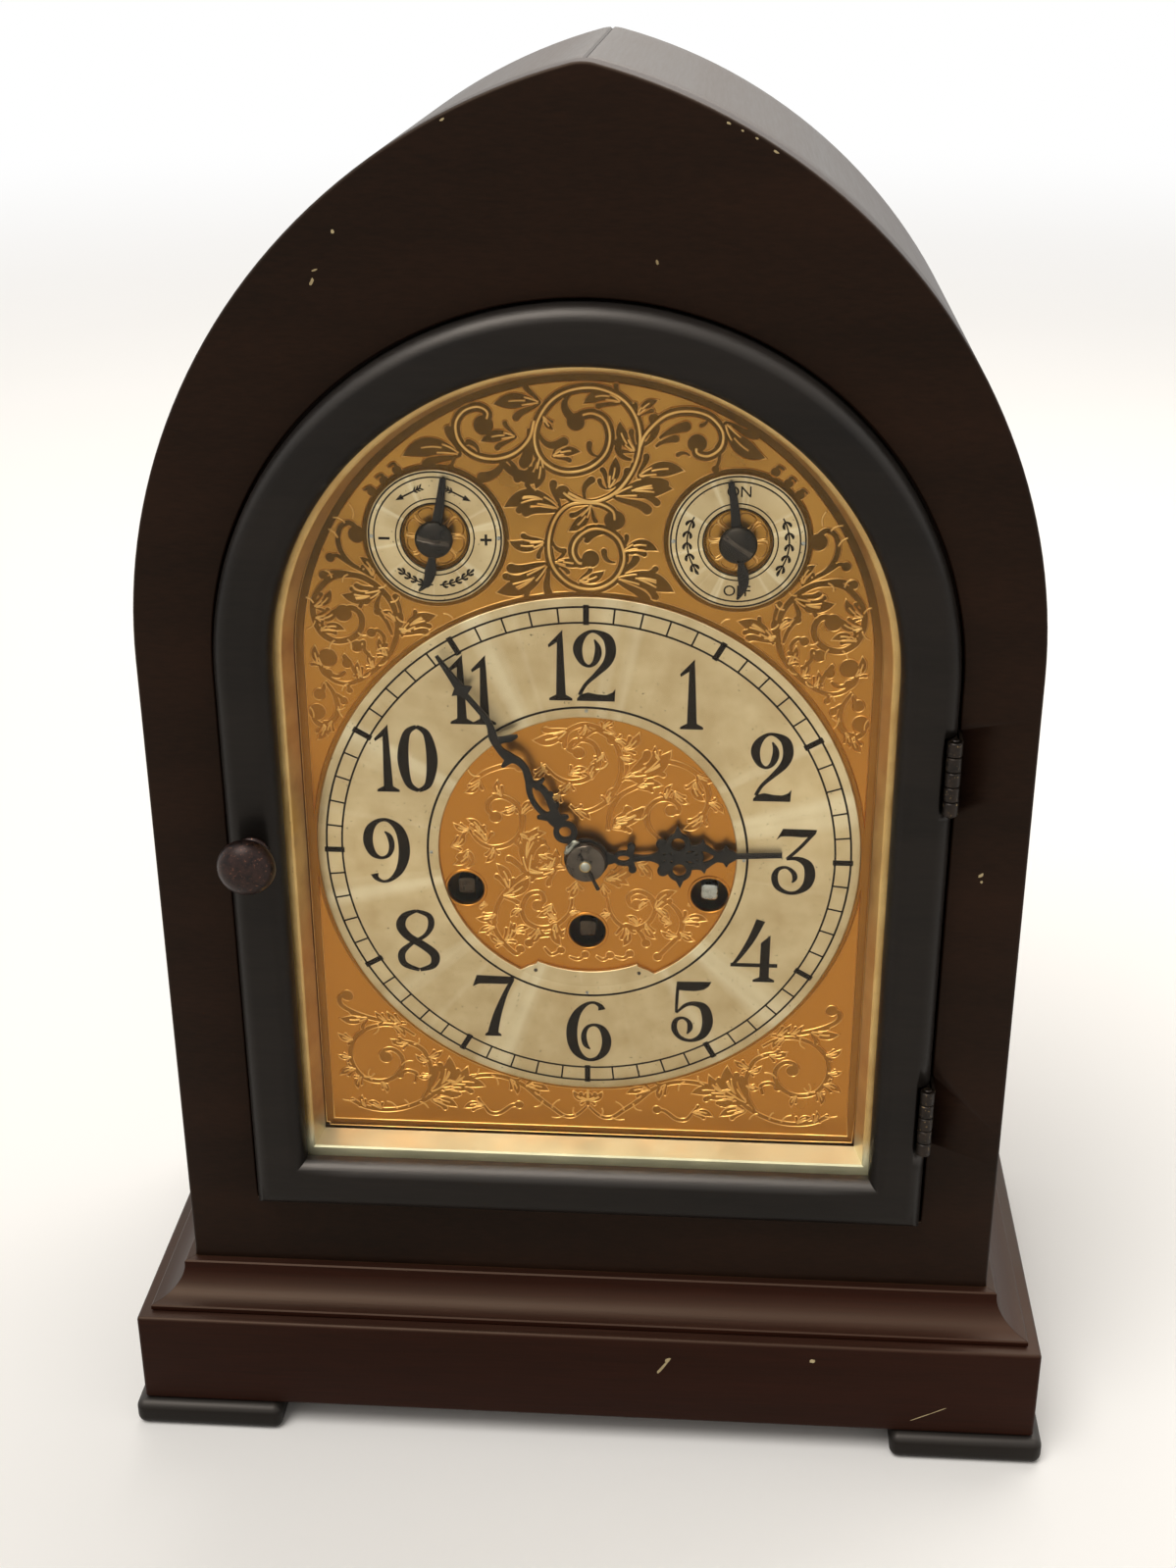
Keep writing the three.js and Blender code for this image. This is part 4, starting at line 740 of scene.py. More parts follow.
# Which outlines cover a point is looked up on a coarse grid of their boxes
def gridOf(loops):
    grid, cell = {}, 4.0
    for loop in loops:
        xs, zs = [p[0] for p in loop], [p[1] for p in loop]
        for i in range(int(min(xs) // cell), int(max(xs) // cell) + 1):
            for j in range(int(min(zs) // cell), int(max(zs) // cell) + 1):
                grid.setdefault((i, j), []).append(loop)
    return lambda x, z: any(insideLoop(loop, x, z)
                            for loop in grid.get((int(x // cell), int(z // cell)), ()))


def flatShape(solids, holes=()):
    coords, edges = [], []
    solids = [loop for loop in solids if abs(area(loop)) > 1e-4]
    for loop in solids + list(holes):
        first, count = len(coords), len(loop)
        edges += [(first + i, first + (i + 1) % count) for i in range(count)]
        coords += [Vector(p) for p in loop]
    verts, _, tris, _, _, _ = geometry.delaunay_2d_cdt(coords, edges, [], 0, 1e-4)
    covered, bored = gridOf(solids), gridOf(holes)
    kept = []
    for tri in tris:
        x, z = [sum(verts[i][k] for i in tri) / 3 for k in (0, 1)]
        if covered(x, z) and not bored(x, z):
            kept.append(tuple(tri))
    return [tuple(v) for v in verts], kept


# Layers of (outward, y) from the front face to the back: the first is the face, the rest follow its edge.
def raised(name, flat, layers, *finishes, sharp=30, closed=True):
    verts, tris = flat
    edges = {(t[i], t[(i + 1) % 3]) for t in tris for i in range(3)}
    rim = [(a, z) for a, z in edges if (z, a) not in edges]
    outward = {}
    for a, z in rim:
        dx, dz = verts[z][0] - verts[a][0], verts[z][1] - verts[a][1]
        size = math.hypot(dx, dz) or 1
        for end in (a, z):
            n = outward.setdefault(end, [0, 0])
            n[0] += dz / size
            n[1] -= dx / size
    for n in outward.values():
        size = math.hypot(*n) or 1
        stretch = 1 / max(size / 2, 0.5)
        n[0], n[1] = n[0] / size * stretch, n[1] / size * stretch
    used = sorted({i for tri in tris for i in tri})
    slotOf = {v: i for i, v in enumerate(used)}
    still = (0, 0)
    points = [(verts[v][0] + outward.get(v, still)[0] * layers[0][0], layers[0][1],
               verts[v][1] + outward.get(v, still)[1] * layers[0][0]) for v in used]
    faces = [tuple(slotOf[i] for i in tri) for tri in tris]
    marks = [0] * len(faces)
    rings = [slotOf]
    for push, y in layers[1:]:
        ring = {}
        for v in outward:
            ring[v] = len(points)
            points.append((verts[v][0] + outward[v][0] * push, y, verts[v][1] + outward[v][1] * push))
        rings.append(ring)
    for ring, below in zip(rings, rings[1:]):
        faces += [(ring[a], below[a], below[z], ring[z]) for a, z in rim]
        marks += [len(finishes) - 1] * len(rim)
    if closed:
        base = dict(rings[-1])
        for v in used:
            if v not in base:
                base[v] = len(points)
                points.append((verts[v][0], layers[-1][1], verts[v][1]))
        faces += [tuple(base[i] for i in reversed(tri)) for tri in tris]
        marks += [0] * len(tris)
    return makePiece(name, points, faces, *finishes, marks=marks, sharp=sharp, merge=False)


# Dial plate with its holes
dial = {"half": 84, "low": 78, "front": 10.1, "back": 11.6, "centre": 175, "subX": 37.1, "subZ": 261,
        "ringOuter": 71.3, "ringInner": 39, "subOuter": 17, "subInner": 8.3, "ringFront": 8.9,
        "ringBack": 10.0, "winding": ((-32.25, 164.0), (32.25, 164.0), (0.0, 152.2)), "windingHole": 4.9,
        "arborHole": 3.0, "pointerHole": 1.8}
subX, subZ = dial["subX"], dial["subZ"]
plateLoop = [(x, z) for x, _, z in roundOutline(dial["half"], dial["low"], 0)]
bores = [disc(x, z, dial["windingHole"], 48) for x, z in dial["winding"]]
bores += [disc(0, dial["centre"], dial["arborHole"], 32)]
bores += [disc(sign * subX, subZ, dial["pointerHole"], 24) for _, sign in sides]
plate = raised("etchedDial", flatShape([plateLoop], bores), [(0, dial["front"]), (0, dial["back"])],
               giltMetal)
settle(plate, "case", "gilt", "dial_plate")

# Scrolls: stems with a round bead down the middle that wind inward to a bud, and leaves that break from them
fingerLoop = [(0, 0.06), (0.2, 0.12), (0.4, 0.19), (0.6, 0.23), (0.78, 0.21), (0.92, 0.12), (1.0, 0.0),
              (0.93, -0.06), (0.78, -0.1), (0.6, -0.12), (0.4, -0.11), (0.2, -0.09), (0, -0.06)]


# A finger curls to its left for a positive curl
def finger(x, z, turn, size, curl):
    bent = []
    for u, v in fingerLoop:
        a = curl * u
        v = -v if curl > 0 else v
        bent.append((math.sin(a) / curl - v * math.sin(a), (1 - math.cos(a)) / curl + v * math.cos(a)))
    return moved(bent, x, z, turn, size)


# Blunt lobes leave wide of the leaf, run beside it and hook over at a round end
leafShape = {"point": 0.3, "comma": 0.36, "blunt": 0.2, "vein": 0.1, "bead": 0.16, "budSwell": 1.25,
             "lobes": ((0.0, 0.62, 0.8, 1.3), (0.36, 0.46, 0.7, 1.2))}  # start, length, swing, hook


def bowed(x, z, tipX, tipZ, bow):
    dx, dz = tipX - x, tipZ - z
    return [(x + dx * t - dz * 4 * bow * t * (1 - t), z + dz * t + dx * 4 * bow * t * (1 - t))
            for t in [i / 12 for i in range(13)]]


def lobe(x, z, heading, length, swing, hook):
    rows = []
    for i in range(13):
        u = i / 12
        rows.append((x, z, length * leafShape["blunt"] * (0.35 + 0.95 * u)))
        turn = heading + swing * (1 - u) + hook * u ** 3
        x, z = x + math.cos(turn) * length / 12, z + math.sin(turn) * length / 12
    return rows


def blunt(rows):
    x, z, wide = rows[-1]
    return stroke(rows, smooth=False) + [disc(x, z, wide / 2, 14)]


# A leaf runs from its root to its tip: a line (-1), a comma (0), or a pointed lobe with pairs of blunt ones
def acanthus(x, z, tipX, tipZ, bow, pairs):
    rib = bowed(x, z, tipX, tipZ, bow)
    size = math.hypot(tipX - x, tipZ - z)
    if pairs < 0:
        return [], [rib]
    if not pairs:
        rows = [(a, b, size * leafShape["comma"] * (0.3 + 0.7 * i / 12)) for i, (a, b) in enumerate(rib)]
        return blunt(rows), []
    swell = [0.2 * (1 - i / 12) + math.sin(math.pi * (i / 12) ** 1.3) for i in range(13)]
    rows = [(a, b, size * leafShape["point"] * wide) for (a, b), wide in zip(rib, swell)]
    shapes = stroke(rows, smooth=False)
    veins = [rib[4:9]]
    for start, reach, swing, hook in leafShape["lobes"][:pairs]:
        i = round(start * 12)
        heading = math.atan2(rib[i + 2][1] - rib[i][1], rib[i + 2][0] - rib[i][0])
        for side in (-1, 1):
            length = size * reach * (1.0 if side * bow < 0 else 0.8)
            rows = lobe(*rib[i], heading, length, side * swing, side * hook)
            shapes += blunt(rows)
            between = [((a[0] + b[0]) / 2, (a[1] + b[1]) / 2) for a, b in zip(rows, rib[i:])]
            veins.append(between[1:7])
    return shapes, veins


# Outlines of a whole figure, and the beads and fine lines that stand up in it
def ornament(stems, leaves):
    shapes, lines = [], []
    for width, bud, path in stems:
        path = smoothRows(path, 7)
        count = len(path)
        rows = [(x, z, width * (0.5 + 0.5 * min(1, 4 * i / count))) for i, (x, z) in enumerate(path)]
        shapes += stroke(rows, smooth=False)
        shapes.append(disc(*path[-1], bud * leafShape["budSwell"], 24))
        if width > 1.5:  # only the broad stems have room for a bead
            bead, thin = path[:round(count * 0.94)], width * leafShape["bead"]
            rows = [(x, z, thin * (1 - 0.4 * i / count)) for i, (x, z) in enumerate(bead)]
            lines += stroke(rows, smooth=False)
    for one in leaves:
        grown, veins = acanthus(*one)
        shapes += grown
        for row in veins:
            lines += stroke([(p[0], p[1], leafShape["vein"]) for p in row], smooth=False)
    return shapes, lines


def mirrored(shapes):
    return [[(-x, z) for x, z in loop] for loop in shapes]


# The scrolls are read off four enlarged views of the picture, as (across, down) in the view
views = {"crown": {"corner": (280, 380), "width": 640, "shown": 1568},
         "flank": {"corner": (720, 560), "width": 180, "shown": 1411},
         "foot": {"corner": (330, 1010), "width": 310, "shown": 1568},
         "heart": {"corner": (420, 720), "width": 360, "shown": 1568}}
leafLengths = {"line": 3.6, "short": 10}


def onDial(view, across, down):
    corner, enlarged = views[view]["corner"], views[view]["shown"] / views[view]["width"]
    return sighted(corner[0] + across / enlarged, corner[1] + down / enlarged, dial["front"])


def stemsOn(view, stems):
    return [(width, bud, [onDial(view, *spot) for spot in spots]) for width, bud, spots in stems]


# Where a leaf's pairs of lobes aren't given, its length decides
def leavesOn(view, leaves):
    placed = []
    for across, down, tipAcross, tipDown, bow, *given in leaves:
        root, tip = onDial(view, across, down), onDial(view, tipAcross, tipDown)
        size = math.hypot(root[0] - tip[0], root[1] - tip[1])
        pairs = -1 if size < leafLengths["line"] else 1 if size < leafLengths["short"] else 2
        placed.append((*root, *tip, bow, given[0] if given else pairs))
    return placed


# Stems are width, bud and points; leaves are root, tip, bow and, for some, pairs of lobes. The crown and the
# centre are drawn whole, the flank and the foot on one side and mirrored.
crownStems = [
    (2.3, 1.7, [
        (735, 300), (790, 322), (850, 300), (893, 245), (913, 180), (905, 115), (868, 65), (805, 38),
        (740, 42), (690, 70), (657, 120), (650, 175), (672, 222), (722, 247), (780, 240), (822, 208),
        (838, 165), (828, 122), (798, 102), (768, 106), (752, 122)]),
    (1.9, 1.35, [(790, 322), (750, 318), (720, 298)]),
    (2.3, 1.7, [
        (790, 322), (735, 330), (700, 365), (685, 425), (697, 485), (740, 528), (800, 540), (850, 515),
        (873, 468), (862, 420), (828, 393), (788, 392), (755, 415), (745, 448), (762, 475), (790, 464)]),
    (1.9, 2.0, [(775, 324), (815, 328), (845, 345), (850, 368)]),
    (2.2, 1.9, [
        (648, 120), (635, 165), (600, 200), (550, 215), (500, 205), (462, 172), (452, 128), (472, 95),
        (508, 84), (532, 100), (522, 130)]),
    (2.2, 1.8, [
        (913, 185), (930, 150), (975, 108), (1030, 95), (1085, 108), (1118, 145), (1115, 185), (1085, 208),
        (1055, 200), (1056, 176)]),
    (0.7, 0.7, [(462, 172), (452, 205), (440, 236)]),
    (0.7, 0.7, [(1112, 190), (1110, 218), (1102, 240)]),
    (0.7, 0.9, [(222, 292), (240, 284), (244, 296)]),
    (0.7, 0.9, [(252, 262), (268, 254), (274, 268)]),
    (0.7, 0.9, [(284, 234), (300, 226), (306, 242)]),
    (0.7, 0.9, [(1332, 302), (1318, 292), (1312, 304)]),
    (0.7, 0.9, [(1304, 272), (1290, 262), (1284, 276)]),
    (0.7, 0.9, [(1274, 242), (1258, 234), (1252, 248)]),
]
crownLeaves = [
    (466, 205, 320, 206, -0.15, 1), (664, 74, 547, 78, -0.06, 1), (604, 160, 515, 171, -0.1, 1),
    (576, 212, 520, 261, 0.16, 0), (580, 214, 607, 264, 0.12, 0), (511, 203, 484, 172, -0.2, 0),
    (636, 139, 626, 224, 0.06, 0), (744, 48, 737, 107, -0.28, 0), (867, 74, 772, 76, -0.2, 1),
    (660, 150, 722, 172, -0.3, 0), (672, 107, 696, 141, -0.1, 1), (694, 209, 764, 197, 0.1, 1),
    (809, 209, 787, 177, 0.25, 0), (902, 197, 863, 121, 0.14, 1), (894, 217, 858, 174, 0.25, 0),
    (907, 107, 957, 68, 0.12, 1), (922, 180, 948, 114, -0.2, 0), (952, 184, 1002, 164, 0.1, 0),
    (962, 164, 1027, 134, 0.06, 0), (907, 260, 1022, 244, 0.1, 1), (834, 290, 852, 210, -0.06, 1),
    (834, 290, 812, 268, 0.2, 0), (714, 342, 573, 336, -0.2, 2), (676, 420, 586, 420, 0.15, 1),
    (683, 476, 555, 548, 0.1, 2), (789, 332, 734, 395, 0.1, 1), (695, 420, 723, 445, -0.2, 0),
    (698, 473, 767, 482, 0.06, 1), (758, 520, 823, 495, -0.1, 1), (851, 473, 823, 445, 0.25, 0),
    (820, 401, 780, 417, -0.1, 0), (870, 448, 958, 445, 0.2, 1), (851, 514, 998, 548, 0.1, 2),
    (845, 308, 995, 289, 0.06, 2), (776, 314, 792, 267, 0.2, 0), (1125, 123, 1226, 213, -0.12, 1),
    (1038, 207, 1007, 204, -0.2, 0), (1083, 109, 1066, 131, 0.2, 0), (998, 109, 990, 92, 0.1, 0),
    (664, 205, 652, 290, 0.06, 1), (560, 215, 640, 262, -0.1, 0)
]
flankStems = [
    (1.2, 1.7, [
        (760, 290), (850, 235), (960, 175), (1030, 80), (1055, -20), (1035, -110), (965, -150), (905, -110),
        (900, -60)]),
    (1.4, 1.7, [
        (1180, 1040), (1110, 1130), (980, 1155), (850, 1100), (720, 1000), (620, 870), (570, 720),
        (575, 600), (620, 480), (720, 370), (850, 290), (980, 270), (1110, 300), (1210, 390), (1265, 510),
        (1255, 640), (1200, 750), (1090, 810), (980, 800), (890, 740), (860, 650), (890, 570), (960, 540),
        (1015, 585)]),
    (1.05, 1.9, [(1110, 1130), (1185, 1070), (1200, 1000), (1145, 950)]),
    (0.85, 0.9, [(960, 190), (1060, 120), (1120, 135)]),
    (0.85, 0.9, [(950, 255), (1080, 250), (1180, 280)]),
    (1.05, 1.2, [(625, 490), (680, 415), (780, 400), (835, 460)]),
    (0.85, 0.8, [(540, 590), (555, 510), (580, 440)]),
    (0.85, 0.8, [(612, 750), (660, 640), (730, 560)]),
    (0.85, 0.9, [(690, 850), (680, 770), (730, 715), (785, 735)]),
    (0.85, 1.2, [(760, 960), (840, 880), (850, 810), (905, 850)]),
    (0.85, 1.0, [(900, 1110), (950, 1000), (1010, 930), (985, 990)]),
    (0.85, 0.9, [(1000, 1060), (1060, 1100), (1140, 1080)]),
    (1.2, 1.7, [
        (1165, 1150), (1095, 1245), (1065, 1365), (1105, 1460), (1200, 1500), (1262, 1450), (1235, 1395)]),
    (0.85, 0.8, [(1090, 1240), (1040, 1270), (1015, 1295)]),
    (0.85, 1.2, [(1175, 1165), (1185, 1215), (1215, 1250)]),
    (0.7, 0.6, [(980, 1158), (965, 1210)]),
]
flankLeaves = [
    (770, 280, 875, 125, 0.16), (700, 385, 1025, 435, -0.14), (1255, 630, 1060, 540, 0.2),
    (1262, 540, 1120, 400, 0.16), (1210, 740, 1005, 720, -0.18), (545, 740, 255, 575, -0.1),
    (560, 690, 420, 690, 0.16), (590, 640, 690, 560, 0.2), (650, 920, 720, 780, -0.12),
    (760, 1020, 800, 900, -0.16), (860, 1100, 900, 980, -0.14), (1190, 1020, 1250, 860, -0.14),
    (1180, 1490, 1230, 1620, -0.12), (1110, 1460, 1150, 1580, 0.1), (1265, 1440, 1300, 1360, 0.12),
    (1060, 1350, 1020, 1430, 0.1), (120, 590, 190, 560, 0.14), (1000, -150, 1090, -190, 0.14),
    (930, -190, 960, -300, 0.14), (1060, -30, 1130, -90, 0.12), (575, 600, 500, 640, 0.16),
    (620, 480, 560, 440, 0.16), (980, 270, 1020, 330, 0.2), (1110, 300, 1160, 240, 0.14),
    (1265, 510, 1320, 470, 0.14), (1250, 660, 1310, 720, -0.14), (1090, 810, 1130, 880, 0.14),
    (980, 800, 950, 870, -0.14), (890, 740, 830, 760, 0.16), (720, 1000, 660, 960, 0.14),
    (850, 1100, 800, 1060, 0.16), (980, 1155, 1030, 1210, 0.14), (1065, 1370, 1010, 1350, 0.14),
    (720, 370, 660, 340, 0.14), (640, 860, 740, 880, 0.14)
]
footStems = [
    (1.05, 0.5, [
        (1362, 590), (1300, 640), (1240, 640), (1180, 600), (1110, 550), (1040, 490), (960, 450),
        (870, 432), (770, 440), (680, 465), (610, 500), (545, 545), (480, 580), (400, 605), (310, 610),
        (220, 595), (150, 560)]),
    (1.05, 0.6, [(510, 556), (545, 500), (556, 430), (545, 360), (510, 300), (440, 265), (370, 262)]),
    (1.05, 1.3, [
        (470, 225), (400, 185), (310, 172), (220, 195), (155, 250), (140, 320), (160, 390), (210, 445),
        (290, 465), (360, 445), (405, 395), (405, 340), (370, 305), (325, 300), (298, 328), (322, 340)]),
    (1.05, 1.2, [(425, 165), (330, 155), (230, 135), (150, 105), (92, 70), (86, 30), (124, 22)]),
    (0.85, 0.9, [(830, 590), (860, 625), (910, 627), (970, 590), (1010, 585)]),
    (0.85, 0.8, [(470, 470), (480, 425), (430, 410), (395, 430)]),
    (0.85, 0.8, [(1362, 590), (1362, 540)]),
]
footLeaves = [
    (545, 520, 650, 340, -0.16), (600, 495, 742, 392, -0.16), (690, 466, 735, 420, -0.1),
    (660, 480, 832, 490, 0.12), (620, 510, 752, 512, 0.14), (1040, 490, 1162, 512, 0.12),
    (440, 268, 350, 250, 0.12), (470, 275, 495, 246, -0.2), (540, 340, 610, 310, -0.1),
    (210, 440, 262, 425, -0.2), (250, 455, 240, 400, 0.2), (160, 560, 100, 556, 0.1),
    (300, 608, 230, 570, -0.16), (380, 604, 330, 568, -0.16), (440, 594, 420, 560, -0.16),
    (560, 560, 690, 596, 0.12), (830, 590, 728, 600, -0.14), (1130, 566, 1090, 596, 0.2),
    (1180, 600, 1220, 560, 0.14), (1300, 640, 1290, 600, 0.16), (1362, 560, 1290, 522, 0.16),
    (1362, 560, 1434, 522, -0.16), (1362, 560, 1362, 505, 0.02), (330, 155, 270, 110, 0.12),
    (400, 165, 330, 110, 0.12), (230, 135, 90, 140, 0.1), (155, 250, 80, 220, 0.16),
    (145, 340, 80, 330, 0.12), (170, 400, 90, 430, -0.12), (280, 172, 260, 220, 0.2),
    (360, 178, 420, 230, 0.16), (405, 380, 460, 360, 0.16), (300, 465, 330, 520, 0.14),
    (200, 440, 180, 500, -0.16), (556, 430, 490, 440, 0.16), (545, 360, 480, 330, 0.16),
    (870, 432, 900, 480, 0.16), (960, 450, 1000, 530, 0.14), (770, 440, 800, 400, -0.16),
    (680, 465, 600, 440, 0.12), (500, 570, 540, 600, 0.14), (1240, 640, 1180, 650, 0.14),
    (220, 595, 200, 540, 0.16)
]
heartStems = [
    (1.05, 1.0, [
        (705, 440), (740, 465), (800, 460), (860, 425), (902, 370), (930, 300), (925, 220), (895, 150),
        (840, 100), (770, 80), (705, 100), (665, 140)]),
    (1.05, 1.2, [
        (590, 262), (640, 310), (700, 335), (770, 325), (820, 280), (832, 220), (812, 170), (768, 148),
        (720, 155), (698, 190), (740, 205)]),
    (1.05, 0.8, [(872, 548), (885, 460), (925, 395), (1000, 355), (1060, 335)]),
    (1.05, 0.9, [
        (930, 330), (1020, 270), (1110, 245), (1200, 260), (1268, 300), (1310, 360), (1316, 430),
        (1290, 490)]),
    (1.05, 1.2, [
        (1110, 600), (1055, 540), (1043, 475), (1078, 425), (1130, 410), (1178, 432), (1182, 470),
        (1150, 462)]),
    (1.05, 0.9, [(262, 338), (330, 290), (420, 262), (478, 268)]),
    (1.05, 1.2, [
        (255, 545), (300, 600), (360, 625), (430, 610), (480, 560), (490, 490), (460, 430), (400, 400),
        (350, 412), (338, 455), (372, 490)]),
    (1.05, 0.9, [
        (680, 718), (560, 722), (480, 760), (410, 830), (375, 900), (368, 980), (410, 1050), (462, 1096),
        (482, 1076)]),
    (1.05, 1.2, [
        (712, 850), (700, 915), (640, 970), (570, 982), (510, 955), (490, 900), (515, 838), (570, 826),
        (588, 860), (560, 884)]),
    (1.05, 1.2, [
        (868, 850), (884, 920), (925, 970), (990, 985), (1050, 960), (1082, 900), (1062, 845), (1005, 820),
        (962, 842), (972, 882), (1000, 880)]),
    (1.05, 0.9, [(1110, 850), (1170, 895), (1200, 955), (1180, 1020), (1120, 1085), (1090, 1110)]),
    (0.85, 0.9, [(905, 1010), (950, 970), (1010, 1000), (1040, 1050)]),
    (0.85, 0.9, [(690, 990), (640, 1010), (560, 1020), (520, 1050)]),
    (0.7, 0.9, [(240, 720), (270, 690), (258, 650), (220, 668)]),
    (0.7, 0.8, [(590, 1070), (620, 1100), (662, 1082)]),
    (0.7, 0.8, [(700, 1110), (740, 1122), (770, 1100)]),
    (0.7, 0.8, [(820, 1108), (850, 1124), (880, 1104)]),
    (0.7, 0.8, [(905, 1110), (940, 1118), (968, 1096)]),
    (0.85, 0.9, [(700, 190), (800, 110), (850, 118), (888, 150)]),
]
heartLeaves = [
    (690, 105, 540, 150, 0.12), (600, 285, 575, 250, 0.2), (720, 460, 790, 500, 0.15),
    (870, 430, 900, 360, 0.1), (940, 320, 1060, 290, 0.12), (1000, 360, 1110, 350, 0.12),
    (960, 310, 1150, 200, -0.12), (900, 500, 1020, 450, -0.16), (890, 540, 980, 520, 0.1),
    (1290, 480, 1210, 545, 0.16), (1260, 330, 1300, 420, -0.2), (940, 190, 1010, 120, -0.14),
    (900, 150, 960, 190, 0.2), (800, 320, 830, 250, 0.2), (300, 560, 250, 500, -0.2),
    (330, 600, 270, 520, -0.15), (300, 310, 250, 280, 0.2), (420, 262, 490, 230, 0.1),
    (640, 720, 470, 700, 0.18), (600, 722, 640, 640, -0.12), (560, 722, 660, 668, -0.1),
    (520, 740, 560, 540, 0.12), (430, 810, 380, 700, -0.12), (400, 840, 520, 760, -0.12),
    (375, 920, 290, 940, 0.16), (372, 980, 300, 1000, -0.1), (410, 1040, 440, 960, -0.2),
    (560, 982, 520, 1050, 0.15), (640, 960, 660, 1060, -0.15), (1080, 900, 1170, 820, 0.16),
    (1200, 960, 1310, 950, 0.16), (1190, 1000, 1250, 1040, -0.1), (950, 980, 940, 1060, 0.15),
    (1040, 960, 1080, 1030, -0.15), (640, 940, 600, 900, 0.2), (1000, 970, 960, 930, -0.2),
    (870, 760, 980, 700, -0.16), (860, 770, 960, 790, 0.16), (730, 780, 700, 850, 0.1),
    (850, 790, 870, 850, -0.1), (250, 640, 190, 700, 0.16), (180, 620, 230, 560, -0.2),
    (480, 560, 560, 590, -0.16), (490, 480, 540, 420, 0.16), (360, 625, 330, 690, 0.14),
    (400, 400, 380, 330, 0.14), (255, 545, 190, 520, 0.16), (770, 80, 740, 140, 0.2),
    (925, 220, 990, 240, -0.16), (850, 100, 900, 60, 0.14), (700, 335, 650, 390, 0.16),
    (820, 280, 870, 250, -0.16), (1043, 480, 990, 500, 0.2), (1130, 410, 1150, 350, 0.14),
    (1268, 300, 1340, 330, -0.16), (1316, 430, 1380, 470, 0.16), (700, 915, 760, 930, 0.14),
    (884, 920, 830, 950, -0.14), (1082, 900, 1140, 940, 0.16), (490, 900, 440, 930, -0.16),
    (590, 262, 540, 320, 0.14), (410, 1050, 350, 1010, 0.14), (1180, 1020, 1110, 1000, 0.16),
    (700, 300, 775, 275, 0.1, 1), (850, 210, 800, 250, 0.16, 1), (900, 120, 830, 100, 0.1, 1),
    (1170, 380, 1225, 430, -0.14, 1), (900, 520, 1030, 450, -0.1, 1), (460, 440, 400, 470, 0.2, 1),
    (300, 330, 240, 380, 0.14, 1), (520, 600, 590, 560, 0.14, 1), (560, 660, 660, 700, 0.1, 1),
    (620, 880, 560, 930, 0.14, 1), (1010, 900, 1050, 860, 0.2, 1), (1230, 880, 1300, 870, 0.1, 1),
    (330, 880, 280, 850, 0.14, 1), (450, 1000, 520, 980, 0.1, 1), (1150, 960, 1100, 930, 0.16, 1),
    (1000, 700, 1060, 760, 0.14, 1), (660, 390, 600, 420, 0.14, 1), (1100, 240, 1080, 180, 0.1, 1)
]

outside, veins = ornament(stemsOn("crown", crownStems), leavesOn("crown", crownLeaves))
paired, pairedVeins = ornament(stemsOn("flank", flankStems) + stemsOn("foot", footStems),
                               leavesOn("flank", flankLeaves) + leavesOn("foot", footLeaves))
outside += paired + mirrored(paired)
veins += pairedVeins + mirrored(pairedVeins)
inside, heartVeins = ornament(stemsOn("heart", heartStems), leavesOn("heart", heartLeaves))

# A matt band follows the edge of the plate inside the sight, and one lies round each ring
band = {"half": 72.8, "low": 89, "width": 1.9, "ringOut": 1.0, "ringIn": 0.6, "subOut": 1.1, "subIn": 0.4,
        "windingOut": 1.3, "arborOut": 1.2}
rail = [(x, z) for x, _, z in roundOutline(band["half"], band["low"], 0)]
outside += stroke([(x, z, band["width"]) for x, z in rail + rail[:1]], smooth=False)
outside.append(disc(0, dial["centre"], dial["ringOuter"] + band["ringOut"], 128))
outside += [disc(sign * subX, subZ, dial["subOuter"] + band["subOut"], 64) for _, sign in sides]
clear = [disc(0, dial["centre"], dial["ringOuter"] - band["ringIn"], 128)]
clear += [disc(sign * subX, subZ, dial["subOuter"] - band["subIn"], 64) for _, sign in sides]
inHoles = [disc(x, z, dial["windingHole"] + band["windingOut"], 40) for x, z in dial["winding"]]
inHoles += [disc(0, dial["centre"], dial["arborHole"] + band["arborOut"], 32)]

# Each figure lies a little below a rolled lip that stands along its outline
relief = {"fill": 0.06, "lip": 0.2, "crest": 0.27, "lipInner": 0.06, "lipMiddle": 0.16, "lipOuter": 0.27,
          "foot": 0.36, "sink": 0.03}
layers = [(0, dial["front"] - relief["fill"]), (relief["lipInner"], dial["front"] - relief["lip"]),
          (relief["lipMiddle"], dial["front"] - relief["crest"]),
          (relief["lipOuter"], dial["front"] - relief["lip"]),
          (relief["foot"], dial["front"] + relief["sink"])]
# Beads and veins are rounded over from a narrow top
fine = [(0, dial["front"] - 0.26), (0.1, dial["front"] - 0.22), (0.19, dial["front"] - 0.12),
        (0.22, dial["front"] - relief["fill"] + 0.02)]


def giltRelief(name, flat, layers, *finishes, sharp=30):
    settle(raised(name, flat, layers, *finishes, sharp=sharp, closed=False), "case", "gilt")


giltRelief("dialScrolls", flatShape(outside, clear), layers, etchMetal, edgeHighlightMetal, sharp=65)
giltRelief("centreScrolls", flatShape(inside, inHoles), layers, heartMetal, softEdgeHighlightMetal, sharp=65)
giltRelief("scrollVeins", flatShape(veins, clear), fine, edgeHighlightMetal)
giltRelief("centreVeins", flatShape(heartVeins, inHoles), fine, softEdgeHighlightMetal)

# The winding holes are bushed with plain rims
rimProfile = [(4.9, 11.0), (4.9, 9.9), (5.05, 9.75), (5.5, 9.75), (5.7, 9.95), (5.7, 10.2), (4.9, 11.0)]
for i, (x, z) in enumerate(dial["winding"]):
    rim = makePiece(f"windingRim{i + 1}", *turned(rimProfile, x, z), giltMetal)
    settle(rim, "case", "brass")
print("dial ornament made")


